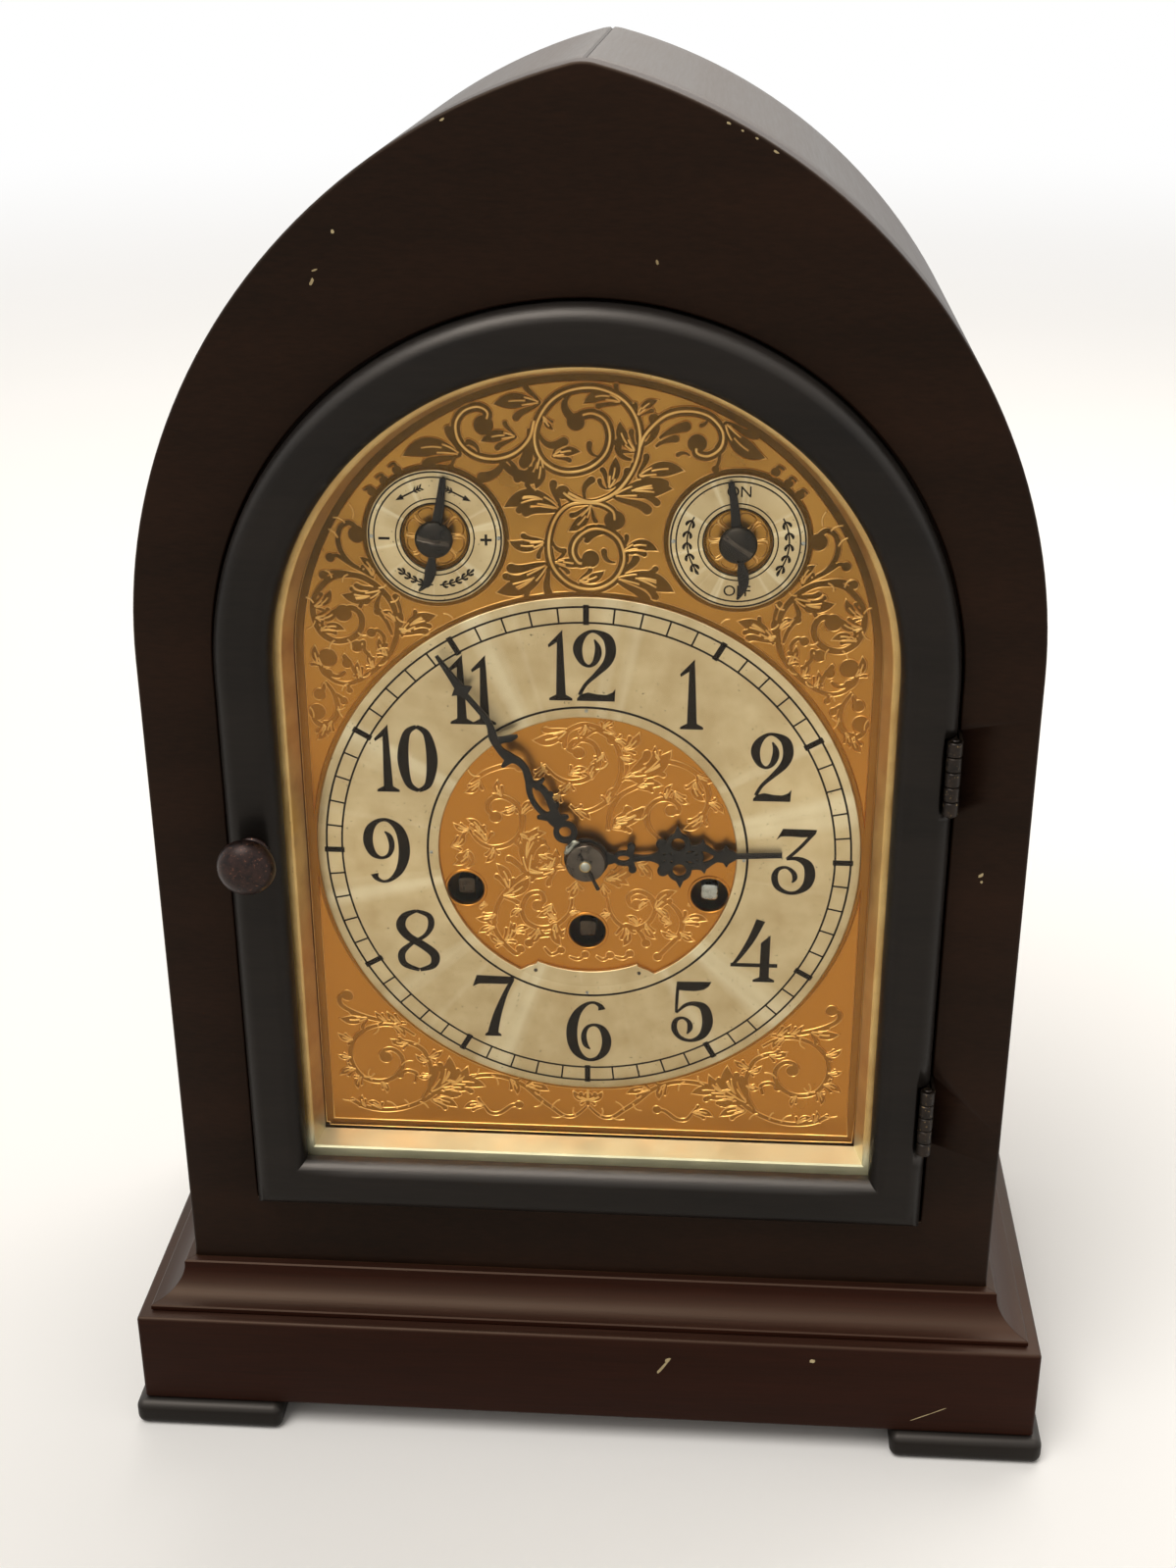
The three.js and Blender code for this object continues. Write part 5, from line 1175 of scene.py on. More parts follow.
# The map called round turns about a ring's own centre, for the grain of the silvering
def ringUv(piece, x, z):
    layer = piece.data.uv_layers.new(name="round")
    for corner in piece.data.loops:
        spot = piece.data.vertices[corner.vertex_index].co
        dx, dz = spot.x / mm - x, spot.z / mm - z
        layer.data[corner.index].uv = (math.atan2(dx, dz) / (2 * math.pi) + 0.5, math.hypot(dx, dz) / 100)
    for face in piece.data.polygons:
        ids = list(face.loop_indices)
        us = [layer.data[i].uv[0] for i in ids]
        if max(us) - min(us) > 0.5:
            for i in ids:
                if layer.data[i].uv[0] < 0.5:
                    layer.data[i].uv[0] += 1


def flatRing(name, x, z, inner, outer, front, back, soft, steps=160):
    profile = [(inner, back), (inner, front + soft), (inner + soft * 0.3, front + soft * 0.3),
               (inner + soft, front)]
    profile += [(inner + (outer - inner) * t / 6, front) for t in range(1, 6)]
    profile += [(outer - soft, front), (outer - soft * 0.3, front + soft * 0.3), (outer, front + soft),
                (outer, back)]
    points, faces = turned(profile + profile[:1], x, z, steps)
    piece = makePiece(name, points, faces, silverMetal, sharp=50)
    ringUv(piece, x, z)
    return piece


ring = flatRing("hourRing", 0, dial["centre"], dial["ringInner"], dial["ringOuter"], dial["ringFront"],
                dial["ringBack"], 0.35)
settle(ring, "case", "silvered", "chapter_ring")
for side, sign, node in (("fastSlow", -1, "regulator_ring"), ("chimeSilent", 1, "silence_ring")):
    ring = flatRing(f"{side}Ring", sign * subX, subZ, dial["subInner"], dial["subOuter"], dial["ringFront"],
                    dial["ringBack"], 0.3, 96)
    settle(ring, "case", "silvered", node)


# A node group with one geometry out, and the sockets that it is given
def newTree(name, sockets):
    tree = bpy.data.node_groups.new(name, "GeometryNodeTree")
    tree.interface.new_socket("Geometry", in_out="OUTPUT", socket_type="NodeSocketGeometry")
    for label, kind in sockets.items():
        tree.interface.new_socket(label, in_out="INPUT", socket_type=f"NodeSocket{kind}")
    return tree, addNode(tree, "NodeGroupInput").outputs


def copiedTo(tree, points, shape, rotation, finish):
    copies = addNode(tree, "GeometryNodeInstanceOnPoints", {
        "Points": points, "Instance": shape, "Rotation": rotation}).outputs[0]
    real = addNode(tree, "GeometryNodeRealizeInstances", {"Geometry": copies}).outputs[0]
    done = addNode(tree, "GeometryNodeSetMaterial", {"Geometry": real, "Material": finish}).outputs[0]
    addNode(tree, "NodeGroupOutput", {"Geometry": done})
    return tree


# Marks set round a ring: one bar is copied to every place on a circle, pointing at its centre
def marksTree():
    tree, given = newTree("marksRoundRing", {
        "Count": "Int", "Radius": "Float", "Length": "Float", "Width": "Float", "Height": "Float",
        "Finish": "Material"})
    circle = addNode(tree, "GeometryNodeMeshCircle", {
        "Vertices": given["Count"], "Radius": given["Radius"]}).outputs[0]
    size = addNode(tree, "ShaderNodeCombineXYZ", {
        0: given["Length"], 1: given["Width"], 2: given["Height"]}).outputs[0]
    bar = addNode(tree, "GeometryNodeMeshCube", {"Size": size}).outputs[0]
    spot = addNode(tree, "GeometryNodeInputPosition").outputs[0]
    facing = addNode(tree, "FunctionNodeAlignRotationToVector", {"Vector": spot}, axis="X",
                     pivot_axis="Z").outputs[0]
    return copiedTo(tree, circle, bar, facing, given["Finish"])


def fromTree(name, tree, inputs, place):
    piece = placeMesh(name, bpy.data.meshes.new(name))
    grow = piece.modifiers.new("grow", "NODES")
    grow.node_group = tree
    for item in tree.interface.items_tree:
        if item.in_out == "INPUT" and item.name in inputs:
            grow[item.identifier] = inputs[item.name]
    bpy.context.view_layer.update()
    bakedMesh(piece)
    piece.data.transform(place)
    return piece


# Drawn flat with z towards the eye, then stood up on the dial at (x, y, z)
def standAt(x, y, z):
    return Matrix.Translation(at(x, y, z)) @ Matrix.Rotation(math.pi / 2, 4, "X")


inkDeep = 0.05
onRing = dial["ringFront"] - inkDeep / 2 + 0.01
inkLayers = [(0, dial["ringFront"] - inkDeep), (0.03, dial["ringFront"] + 0.02)]
track = {"outer": 68.7, "inner": 64.6, "fine": 0.46, "bold": 1.5, "boldOut": 69.3, "boldIn": 64.0,
         "boldDeep": 1.3, "pinRadius": 41.0, "pinSide": 0.8, "pinHigh": 0.3, "circle": 41.9,
         "lines": {"outer": 0.5, "inner": 0.48, "circle": 0.58}}
marks = marksTree()
fineMarks = fromTree("minuteMarks", marks, {
    "Count": 60, "Radius": (track["outer"] + track["inner"]) / 2 * mm,
    "Length": (track["outer"] - track["inner"]) * mm, "Width": track["fine"] * mm, "Height": inkDeep * mm,
    "Finish": inkWax}, standAt(0, onRing, dial["centre"]))
settle(fineMarks, "case", "blued")
boldMarks = fromTree("fiveMinuteMarks", marks, {
    "Count": 12, "Radius": (track["boldOut"] + track["boldIn"]) / 2 * mm,
    "Length": (track["boldOut"] - track["boldIn"]) * mm, "Width": track["bold"] * mm,
    "Height": inkDeep * track["boldDeep"] * mm, "Finish": inkWax}, standAt(0, onRing, dial["centre"]))
settle(boldMarks, "case", "blued")
ringPins = fromTree("ringPins", marks, {
    "Count": 4, "Radius": track["pinRadius"] * mm, "Length": track["pinSide"] * mm,
    "Width": track["pinSide"] * mm, "Height": track["pinHigh"] * mm, "Finish": steelMetal},
    standAt(0, dial["ringFront"], dial["centre"]))
settle(ringPins, "case", "steel")


def inked(name, flat):
    settle(raised(name, flat, inkLayers, inkWax, closed=False), "case", "blued")


def inkCircle(name, x, z, radius, width, steps):
    inked(name, flatShape([disc(x, z, radius + width / 2, steps)], [disc(x, z, radius - width / 2, steps)]))


# Numerals, drawn with a broad pen in a box 19 mm high: strokes of (x, z, width), and flat wedges
digitStrokes = {
    "0": [[(4.75, 18.5, 0.9), (2.3, 16.4, 1.6), (1.25, 9.5, 2.4), (2.3, 2.6, 1.6), (4.75, 0.5, 0.9)],
          [(4.75, 18.5, 0.9), (7.2, 16.4, 1.6), (8.25, 9.5, 2.4), (7.2, 2.6, 1.6), (4.75, 0.5, 0.9)]],
    "1": [],
    "2": [[(5.0, 16.5, 0.3), (5.8, 14.5, 1.2), (5.8, 12.4, 1.5), (5.0, 10.3, 1.1), (3.6, 9.4, 0.7),
           (2.0, 10.6, 1.2), (1.1, 13.5, 1.9), (1.6, 16.1, 1.7), (3.3, 18.2, 0.9), (5.3, 18.6, 0.8),
           (8.0, 16.9, 2.0), (8.8, 13.5, 2.2), (7.9, 10.3, 1.8), (5.3, 7.1, 1.1), (2.9, 4.4, 0.8),
           (1.5, 1.6, 0.8)]],
    "3": [[(9.9, 17.9, 0.8), (6.8, 13.7, 0.8), (3.7, 10.2, 0.8)],
          [(3.6, 10.2, 0.6), (6.2, 10.4, 1.1), (8.7, 8.8, 2.0), (9.4, 5.6, 2.3), (8.6, 2.5, 1.9),
           (6.4, 0.6, 1.0), (3.9, 0.5, 0.9), (1.6, 2.2, 1.3), (0.9, 5.0, 1.4), (1.7, 7.2, 1.0),
           (3.6, 7.8, 0.7), (5.3, 6.5, 1.0), (5.8, 4.8, 1.1), (5.2, 3.4, 0.3)]],
    "4": [[(7.3, 18.6, 2.0), (5.3, 13.2, 1.6), (3.0, 8.6, 1.1), (0.9, 5.2, 0.7)]],
    "5": [[(1.6, 17.5, 0.7), (1.4, 13.4, 0.7), (1.3, 9.3, 0.6)],
          [(1.3, 9.1, 0.5), (3.6, 11.6, 0.9), (6.0, 12.1, 1.3), (8.3, 10.8, 2.1), (9.2, 6.5, 2.4),
           (8.1, 2.5, 1.8), (5.4, 0.6, 0.9), (2.5, 1.3, 1.0), (0.9, 3.9, 1.3), (1.2, 6.7, 1.1),
           (2.9, 7.6, 0.7), (4.5, 6.4, 1.0), (4.8, 4.4, 1.2), (4.1, 2.6, 0.3)]],
    "6": [[(8.8, 16.4, 1.7), (8.3, 17.7, 1.1), (6.6, 18.6, 0.7), (4.6, 17.8, 1.0), (2.5, 15.1, 1.8),
           (1.3, 11.0, 2.4), (1.3, 6.4, 2.4), (2.5, 2.7, 1.9), (5.0, 0.6, 0.9), (7.5, 1.0, 1.1),
           (9.4, 3.3, 1.9), (10.0, 6.9, 2.1), (9.0, 10.3, 1.6), (7.0, 11.6, 0.8), (5.1, 10.8, 0.9),
           (4.2, 8.3, 1.2), (4.6, 5.4, 1.2), (5.8, 3.9, 0.3)]],
    "7": [[(10.2, 17.9, 0.9), (8.3, 13.5, 1.1), (6.5, 8.0, 1.7), (5.4, 3.5, 2.1), (4.9, 0.7, 2.4)]],
    "8": [[(5.4, 18.5, 0.8), (2.5, 16.9, 1.6), (1.4, 13.9, 2.1), (3.0, 10.8, 2.0), (6.9, 8.0, 2.0),
           (9.6, 5.2, 2.1), (9.1, 2.0, 1.6), (5.8, 0.5, 0.9)],
          [(5.4, 18.5, 0.8), (8.4, 17.2, 1.3), (9.0, 14.4, 1.4), (7.5, 11.2, 1.0), (4.0, 8.6, 1.0),
           (1.4, 5.6, 1.6), (1.9, 2.2, 1.5), (5.6, 0.5, 0.9)]],
}
digitWedges = {
    "1": [[(2.3, 0.8), (4.6, 0.8), (4.0, 15.6), (3.8, 18.8), (2.6, 15.8)],
          [(3.9, 18.9), (0.5, 14.9), (0.7, 14.2), (2.6, 15.6), (3.8, 15.8)],
          [(0.7, 0), (6.1, 0), (6.1, 0.6), (4.7, 1.5), (2.2, 1.5), (0.7, 0.6)]],
    "2": [[(0.9, 0), (9.7, 0), (9.9, 3.4), (9.2, 2.4), (7.8, 1.7), (5.7, 1.8), (3.5, 2.3), (1.7, 1.7),
           (0.9, 0.6)]],
    "3": [[(1.0, 15.7), (2.5, 18.9), (10.6, 18.8), (10.3, 17.6), (9.0, 16.8), (7.2, 16.6), (4.3, 16.8),
           (2.1, 16.7)]],
    "4": [[(0.2, 4.5), (11.7, 4.5), (11.7, 5.6), (0.2, 5.6)],
          [(7.4, 0.8), (9.7, 0.8), (9.8, 14.2), (7.5, 11.8)],
          [(5.8, 0), (11.1, 0), (11.1, 0.6), (9.8, 1.4), (7.3, 1.4), (5.8, 0.6)]],
    "5": [[(1.3, 18.8), (9.9, 19.0), (9.3, 17.6), (8.0, 16.5), (5.8, 16.0), (3.2, 16.1), (1.3, 16.3)]],
    "7": [[(0.1, 15.4), (1.2, 18.9), (10.7, 18.7), (10.4, 17.4), (8.6, 16.4), (5.0, 16.4), (1.7, 16.3)],
          [(2.9, 0), (7.1, 0), (7.0, 0.6), (6.1, 1.3), (3.8, 1.3), (3.0, 0.6)]],
}
digitHigh = 19
digitWidths = {"0": 9.5, "1": 6.6, "2": 10.6, "3": 10.7, "4": 11.8, "5": 10.2, "6": 10.8, "7": 10.6,
               "8": 10.8, "9": 10.8}


def digitShapes(digit):
    if digit == "9":
        width = digitWidths["6"]
        return [[(width - x, digitHigh - z) for x, z in loop] for loop in digitShapes("6")]
    weight = numeralSet["weight"]
    shapes = []
    for path in digitStrokes.get(digit, []):
        shapes += stroke([(x, z, width * weight) for x, z, width in path])
    return shapes + digitWedges.get(digit, [])


numeralSet = {"radius": 53.2, "wide": 1.08, "weight": 1.12, "tight": {"10": -0.6, "11": -1.2, "12": -0.3},
              "aside": {2: 1.5, 3: 0.7, 4: -1.6, 5: 1.6, 6: 0.3, 7: 1.1, 8: 0.4, 9: 0.5, 10: -0.8, 11: -2.4,
                        12: -1.0}}
solids = []
for hour in range(1, 13):
    word = str(hour)
    kern = numeralSet["tight"].get(word, 0)
    wide = numeralSet["wide"]
    whole = wide * (sum(digitWidths[c] for c in word) + kern * (len(word) - 1))
    turn = math.radians(30 * hour)
    x = numeralSet["radius"] * math.sin(turn) - whole / 2 + numeralSet["aside"].get(hour, 0)
    z = dial["centre"] + numeralSet["radius"] * math.cos(turn) - digitHigh / 2
    for c in word:
        solids += [[(x + u * wide, z + v) for u, v in loop] for loop in digitShapes(c)]
        x += wide * (digitWidths[c] + kern)
inked("hourNumerals", flatShape(solids))
for i, (name, width) in enumerate(track["lines"].items()):
    inkCircle(f"ringLine{i + 1}", 0, dial["centre"], track[name], width, 160)


# Small dials: double circles, sprays, and arrows and signs on the left, plain words on the right
def arrow(x, z, turn):
    parts = stroke([(-3.0, 0, 0.4), (2.2, 0, 0.4)], smooth=False) + [[(2.0, 0.75), (4.0, 0), (2.0, -0.75)]]
    for step in (0, 0.8, 1.6):
        for end in (0.75, -0.75):
            parts.append([(-3.0 + step, 0), (-3.7 + step, end), (-3.2 + step, end), (-2.5 + step, 0)])
    return [moved(loop, x, z, turn) for loop in parts]


def spray(x, z, start, end, radius, size=2.1):
    rows = []
    for i in range(15):
        a = math.radians(start + (end - start) * i / 14)
        rows.append((x + radius * math.cos(a), z + radius * math.sin(a), 0.35))
    shapes = stroke(rows, smooth=False)
    for i in range(1, 14, 3):
        a = math.atan2(rows[i + 1][1] - rows[i - 1][1], rows[i + 1][0] - rows[i - 1][0])
        shapes.append(finger(rows[i][0], rows[i][1], a + 0.9, size, -1.0))
        shapes.append(finger(rows[i][0], rows[i][1], a - 0.9, size, 1.0))
    shapes.append(finger(rows[-1][0], rows[-1][1], a, size, 0.2))
    return shapes


def letters(text, size, x, z):
    words = bpy.data.curves.new("letters", "FONT")
    words.body, words.size, words.align_x, words.align_y = text, size, "CENTER", "CENTER"
    words.resolution_u = 4
    holder = bpy.data.objects.new("letters", words)
    bpy.context.scene.collection.objects.link(holder)
    bpy.context.view_layer.update()
    mesh = bpy.data.meshes.new_from_object(holder.evaluated_get(bpy.context.evaluated_depsgraph_get()))
    loops = [moved([tuple(mesh.vertices[i].co[:2]) for i in face.vertices], x, z) for face in mesh.polygons]
    bpy.data.objects.remove(holder)
    bpy.data.meshes.remove(mesh)
    return loops


# A pin's head, just proud of the sheet it holds
def pinHead(name, x, y, z, finish):
    rows = [(0, y - 0.28), (0.3, y - 0.24), (0.5, y - 0.12), (0.52, y + 0.05), (0, y + 0.05)]
    settle(makePiece(name, *turned(rows, x, z, 20), finish), "case", "steel")


petalLoop = [(3.6, -0.6), (5.2, -1.4), (6.4, -1.75), (7.0, -1.1), (7.2, 0), (7.0, 1.1), (6.4, 1.75),
             (5.2, 1.4), (3.6, 0.6)]
curlPath = [(4.0, -0.2), (5.0, 0.1), (6.0, 0.25), (6.8, 0.1), (7.2, -0.35)]
subDial = {"circles": ((16.4, 0.4), (15.1, 0.35), (9.7, 0.3), (8.55, 0.3)), "pinOut": 15.75, "petals": 8,
           "petalTurn": 45, "curlWidth": 0.14, "hollow": (8.2, 7.75), "hollowRise": 0.05, "sign": 0.6,
           "wordSize": 3.9, "wordOut": 12.5}
drawings = {
    "left": [arrow(-subX - 5.8, subZ + 11.0, math.radians(207)),
             arrow(-subX + 5.6, subZ + 11.0, math.radians(-27)), spray(-subX, subZ, 266, 228, 12.3, 1.7),
             spray(-subX, subZ, 274, 312, 12.3, 1.7),
             stroke([(x - subX, z + subZ, subDial["sign"]) for x, z in ((-14.0, -0.5), (-11.2, -0.5))],
                    smooth=False), stroke([(x - subX, z + subZ, subDial["sign"])
                                           for x, z in ((11.2, -0.5), (14.0, -0.5))], smooth=False),
             stroke([(x - subX, z + subZ, subDial["sign"]) for x, z in ((12.6, -1.9), (12.6, 0.9))],
                    smooth=False)],
    "right": [spray(subX, subZ, 150, 212, 12.4), spray(subX, subZ, 30, -32, 12.4),
              letters("ON", subDial["wordSize"], subX, subZ + subDial["wordOut"]),
              letters("OFF", subDial["wordSize"], subX, subZ - subDial["wordOut"])],
}
for name, sign in sides:
    x = sign * subX
    inked(f"{name}SubDialDrawing", flatShape([loop for group in drawings[name] for loop in group]))
    for i, (radius, width) in enumerate(subDial["circles"]):
        inkCircle(f"{name}SubDialLine{i + 1}", x, subZ, radius, width, 72)
    for word, side in sides:
        pinHead(f"{name}SubDialPin{word.title()}", x + side * subDial["pinOut"], dial["ringFront"], subZ,
                steelMetal)
    # fan petals stand round the pointer, with a curl between each pair
    petals = [moved(petalLoop, x, subZ, math.radians(subDial["petalTurn"] * (i + 0.5)))
              for i in range(subDial["petals"])]
    giltRelief(f"{name}SubDialRosette", flatShape(petals), layers, giltMetal, edgeHighlightMetal, sharp=65)
    curls = []
    for i in range(subDial["petals"]):
        path = moved(curlPath, x, subZ, math.radians(subDial["petalTurn"] * i))
        curls += stroke([(*end, subDial["curlWidth"]) for end in path], smooth=False)
    giltRelief(f"{name}SubDialCurls", flatShape(curls), fine, edgeHighlightMetal)
    # Painted shade: a dark ring in the etched finish round each pointer hole, where the ring's recess falls
    # in shade.
    outer, inner = [disc(x, subZ, radius, 64) for radius in subDial["hollow"]]
    rise = subDial["hollowRise"]
    giltRelief(f"{name}SubDialHollow", flatShape([outer], [inner]),
               [(0, dial["front"] - rise), (rise, dial["front"] + 0.02)], etchMetal)
print("rings made")

# A bare silvered crescent with two pins lies across the foot of the centre
plaque = {"inner": 34.8, "outer": 39.4, "front": 8.95, "edge": 9.1, "back": 10.05, "ease": 0.12,
          "pinX": 13.9, "pinDrop": 34.6,
          "horn": [(18.0, -34.8), (16.2, -33.8), (14.9, -33.3), (13.8, -32.8), (13.3, -32.1)]}
upper = [(x, dial["centre"] + z) for x, z in plaque["horn"]]
upper += [(plaque["inner"] * math.sin(math.radians(a)),
           dial["centre"] - plaque["inner"] * math.cos(math.radians(a))) for a in (20, 16, 12, 8, 4, 0)]
lower = [(plaque["outer"] * math.sin(math.radians(a)),
          dial["centre"] - plaque["outer"] * math.cos(math.radians(a))) for a in range(-26, 27, 2)]
plaqueFlat = flatShape([upper + [(-x, z) for x, z in upper[-2::-1]] + lower])
crescent = raised("barePlaque", plaqueFlat, [(0, plaque["front"]), (plaque["ease"], plaque["edge"]),
                                             (plaque["ease"], plaque["back"])], silverMetal)
ringUv(crescent, 0, dial["centre"])
settle(crescent, "case", "silvered")
for word, side in sides:
    pinHead(f"plaquePin{word.title()}", side * plaque["pinX"], plaque["front"],
            dial["centre"] - plaque["pinDrop"], colletMetal)

# Hands, drawn upright as (aside, along) with the arbor at the origin, then turned to the time
hands = {
    "hour": {"angle": 87.2, "front": 6.9, "back": 7.9, "body": "hour_group"},
    "minute": {"angle": 326.4, "front": 5.2, "back": 6.2, "body": "minute_group"},
}


def turnedTo(loops, angle, x=0, z=dial["centre"]):
    a = math.radians(angle)
    return [[(x + u * math.cos(a) + v * math.sin(a), z - u * math.sin(a) + v * math.cos(a))
             for u, v in loop]
            for loop in loops]


def bothSides(loops):
    return loops + [[(-u, v) for u, v in loop] for loop in loops]


hourSolids = [disc(0, 0, 5.7, 48), disc(0, 9.7, 2.7, 28, 0.74, math.pi / 2)]
hourSolids += stroke([(0, 4.6, 3.6), (0, 6.4, 2.8), (0, 7.4, 2.0)])
hourSolids += stroke([(0, 12.0, 1.8), (0, 13.4, 1.5), (0, 15, 1.25), (0, 17, 1.6), (0, 19, 3.4)])
hourSolids += bothSides([disc(3.3, 11.9, 0.9, 16)]
                        + stroke([(1.2, 11.2, 2.0), (2.4, 11.8, 1.4), (3.9, 12.0, 0.7)]))
hourSolids += bothSides(stroke([(0, 19.6, 2.4), (2.0, 20.2, 2.3), (3.4, 20.2, 1.7)])
                        + [disc(3.9, 19.8, 1.3, 20), disc(2.0, 21.4, 0.9, 16)])
hourSolids += bothSides([disc(3.75, 24.1, 3.05, 36)]
                        + [[(2.3, 26.4), (2.3, 21.8), (8.4, 24.1)],
                           [(5.8, 25.4), (5.8, 22.8), (8.7, 24.1)]])
hourSolids += stroke([(0, 18.6, 2.4), (0, 21, 2.0), (0, 24, 1.6), (0, 27, 2.0)])
hourSolids += bothSides(stroke([(2.6, 26.2, 1.2), (2.6, 28.0, 1.3), (2.7, 30.4, 1.7), (1.7, 32.4, 1.1),
                                (0.4, 34.4, 1.2)]))
hourSolids += bothSides([[(2.0, 28.6), (4.6, 30.6), (2.2, 31.6)], [(2.2, 29.2), (3.6, 27.4), (3.0, 30.4)]])
hourSolids += bothSides(stroke([(0, 29.9, 1.2), (1.4, 29.6, 1.1), (2.6, 29.4, 1.1)])
                        + stroke([(0, 26.4, 1.5), (1.2, 28.2, 0.7), (2.2, 29.4, 0.7)]))
hourSolids += stroke([(0, 26.6, 0.8), (0, 30, 0.9)])
hourSolids += [[(0, 33.2), (1.4, 34.2), (1.6, 35.6), (2.9, 36.4), (1.9, 37.0), (0.9, 38.8), (-0.9, 38.8),
                (-1.9, 37.0), (-2.9, 36.4), (-1.6, 35.6), (-1.4, 34.2)]]
hourSolids += stroke([(0, 38, 1.5), (0, 40, 1.15), (0, 50.7, 1.0)])
hourHoles = [disc(0, 0, 2.6, 32), disc(0, 9.7, 1.75, 24, 0.58, math.pi / 2)]
hourHoles += bothSides([disc(3.75, 24.1, 1.95, 28), disc(1.0, 20.4, 0.42, 12), disc(1.15, 22.2, 0.45, 12)])

minuteSolids = [disc(0, 0, 5.2, 44), disc(0.2, 9.9, 3.0, 32)]
minuteSolids += stroke([(0, 4, 3.2), (0.1, 7, 2.2), (0.1, 9, 1.6)])
minuteSolids += stroke([(0.1, 12.2, 2.6), (0, 14.6, 3.6), (-0.2, 16.8, 2.6)])
minuteSolids += stroke([(0.4, 13.2, 2.4), (1.8, 13.6, 1.8), (3.2, 13.2, 0.6)])
minuteSolids += stroke([(-0.4, 15.6, 2.4), (-1.8, 16.3, 1.7), (-3.5, 17.2, 0.6)])
minuteSolids += stroke([(-1.0, 15.8, 1.4), (-1.9, 18.4, 1.05), (-2.0, 21.4, 1.05), (-1.3, 24.2, 1.2),
                        (0, 26.2, 1.7)])
minuteSolids += stroke([(0.8, 15.4, 1.8), (1.5, 17.8, 1.7), (2.0, 20.4, 1.5), (2.1, 22.8, 1.5),
                        (1.4, 24.8, 1.5), (0.2, 26.4, 1.7)])
minuteSolids += [disc(2.4, 17.6, 0.8, 14), disc(2.8, 20.8, 0.75, 14)]
minuteSolids += stroke([(0.6, 24.8, 1.8), (2.0, 24.9, 1.3), (3.9, 25.4, 0.5)])
minuteSolids += stroke([(0.1, 25.6, 2.1), (0.8, 28.0, 1.7), (1.5, 30.4, 1.5), (1.1, 33.0, 1.6),
                        (-0.3, 35.2, 2.3), (-1.0, 38.4, 1.5), (-0.5, 41.8, 1.9), (0.5, 44.4, 1.4),
                        (0.9, 46.8, 1.2), (0.6, 50.4, 1.05), (0.1, 55.4, 1.1)])
minuteSolids += stroke([(0.0, 34.4, 1.8), (-1.6, 34.2, 1.3), (-3.1, 33.8, 0.5)])
minuteSolids += stroke([(-0.6, 40.4, 2.0), (1.4, 39.8, 1.3), (2.9, 39.2, 1.5), (4.8, 38.8, 0.5)])
minuteSolids += stroke([(0, 55, 1.4), (0, 58, 1.9), (0, 60.4, 1.5), (0, 64, 1.0), (0, 67.3, 0.5)])
minuteSolids += [[(-0.4, 55.4), (1.2, 55.2), (2.6, 55.9), (1.4, 57.0), (0.2, 57.6)],
                 [(0.4, 55.6), (-1.2, 56.0), (-2.6, 56.7), (-1.4, 57.6), (0, 58.0)]]
minuteHoles = [disc(0, 0, 1.9, 28), disc(0.2, 10.0, 1.75, 24)]

for name, solids, holes in (("hour", hourSolids, hourHoles), ("minute", minuteSolids, minuteHoles)):
    hand = hands[name]
    front, back = hand["front"], hand["back"]
    flat = flatShape(turnedTo(solids, hand["angle"]), turnedTo(holes, hand["angle"]))
    eased = [(0, front), (0.1, front + 0.04), (0.16, front + 0.2), (0.16, back - 0.1), (0.1, back)]
    settle(raised(f"{name}Blade", flat, eased, handMetal, sharp=50), hand["body"], "blued", f"{name}_hand")

# Collet, the arbor's end and the taper pin through it
collet = {"front": 3.9, "back": 5.1, "radius": 5.2, "bore": 1.25}
front, back, radius = collet["front"], collet["back"], collet["radius"]
profile = [(collet["bore"], back), (collet["bore"], front - 0.25), (1.9, front - 0.3), (2.6, front - 0.1),
           (4.3, front), (4.95, front + 0.12), (radius, front + 0.4), (radius, back - 0.15),
           (radius - 0.15, back), (collet["bore"], back)]
colletDisc = makePiece("colletDisc", *turned(profile, 0, dial["centre"], 72), colletMetal)
settle(colletDisc, "minute_group", "blued", "hand_collet")
profile = [(0, 1.85), (0.6, 1.9), (1.15, 2.1), (1.5, 2.5), (1.55, 3.2), (1.55, 4.2), (0, 4.2)]
arborEnd = makePiece("arborEnd", *turned(profile, 0, dial["centre"], 40), solderMetal)
settle(arborEnd, "minute_group", "steel")
taperPin = {"angle": 154, "start": -3.6, "length": 11.2, "thin": 0.3, "swell": 0.22, "y": 3.3, "steps": 9}
a = math.radians(taperPin["angle"])
rings = []
for i in range(taperPin["steps"] + 1):
    along = taperPin["start"] + taperPin["length"] * i / taperPin["steps"]
    radius = taperPin["thin"] + taperPin["swell"] * i / taperPin["steps"]
    x, z = math.sin(a) * along, dial["centre"] + math.cos(a) * along
    rings.append([(x + math.cos(a) * radius * math.cos(t * math.pi / 8),
                   taperPin["y"] + radius * math.sin(t * math.pi / 8),
                   z - math.sin(a) * radius * math.cos(t * math.pi / 8)) for t in range(16)])
settle(makePiece("taperPin", *loft(rings, caps=True), screwMetal), "minute_group", "steel", "taper_pin")

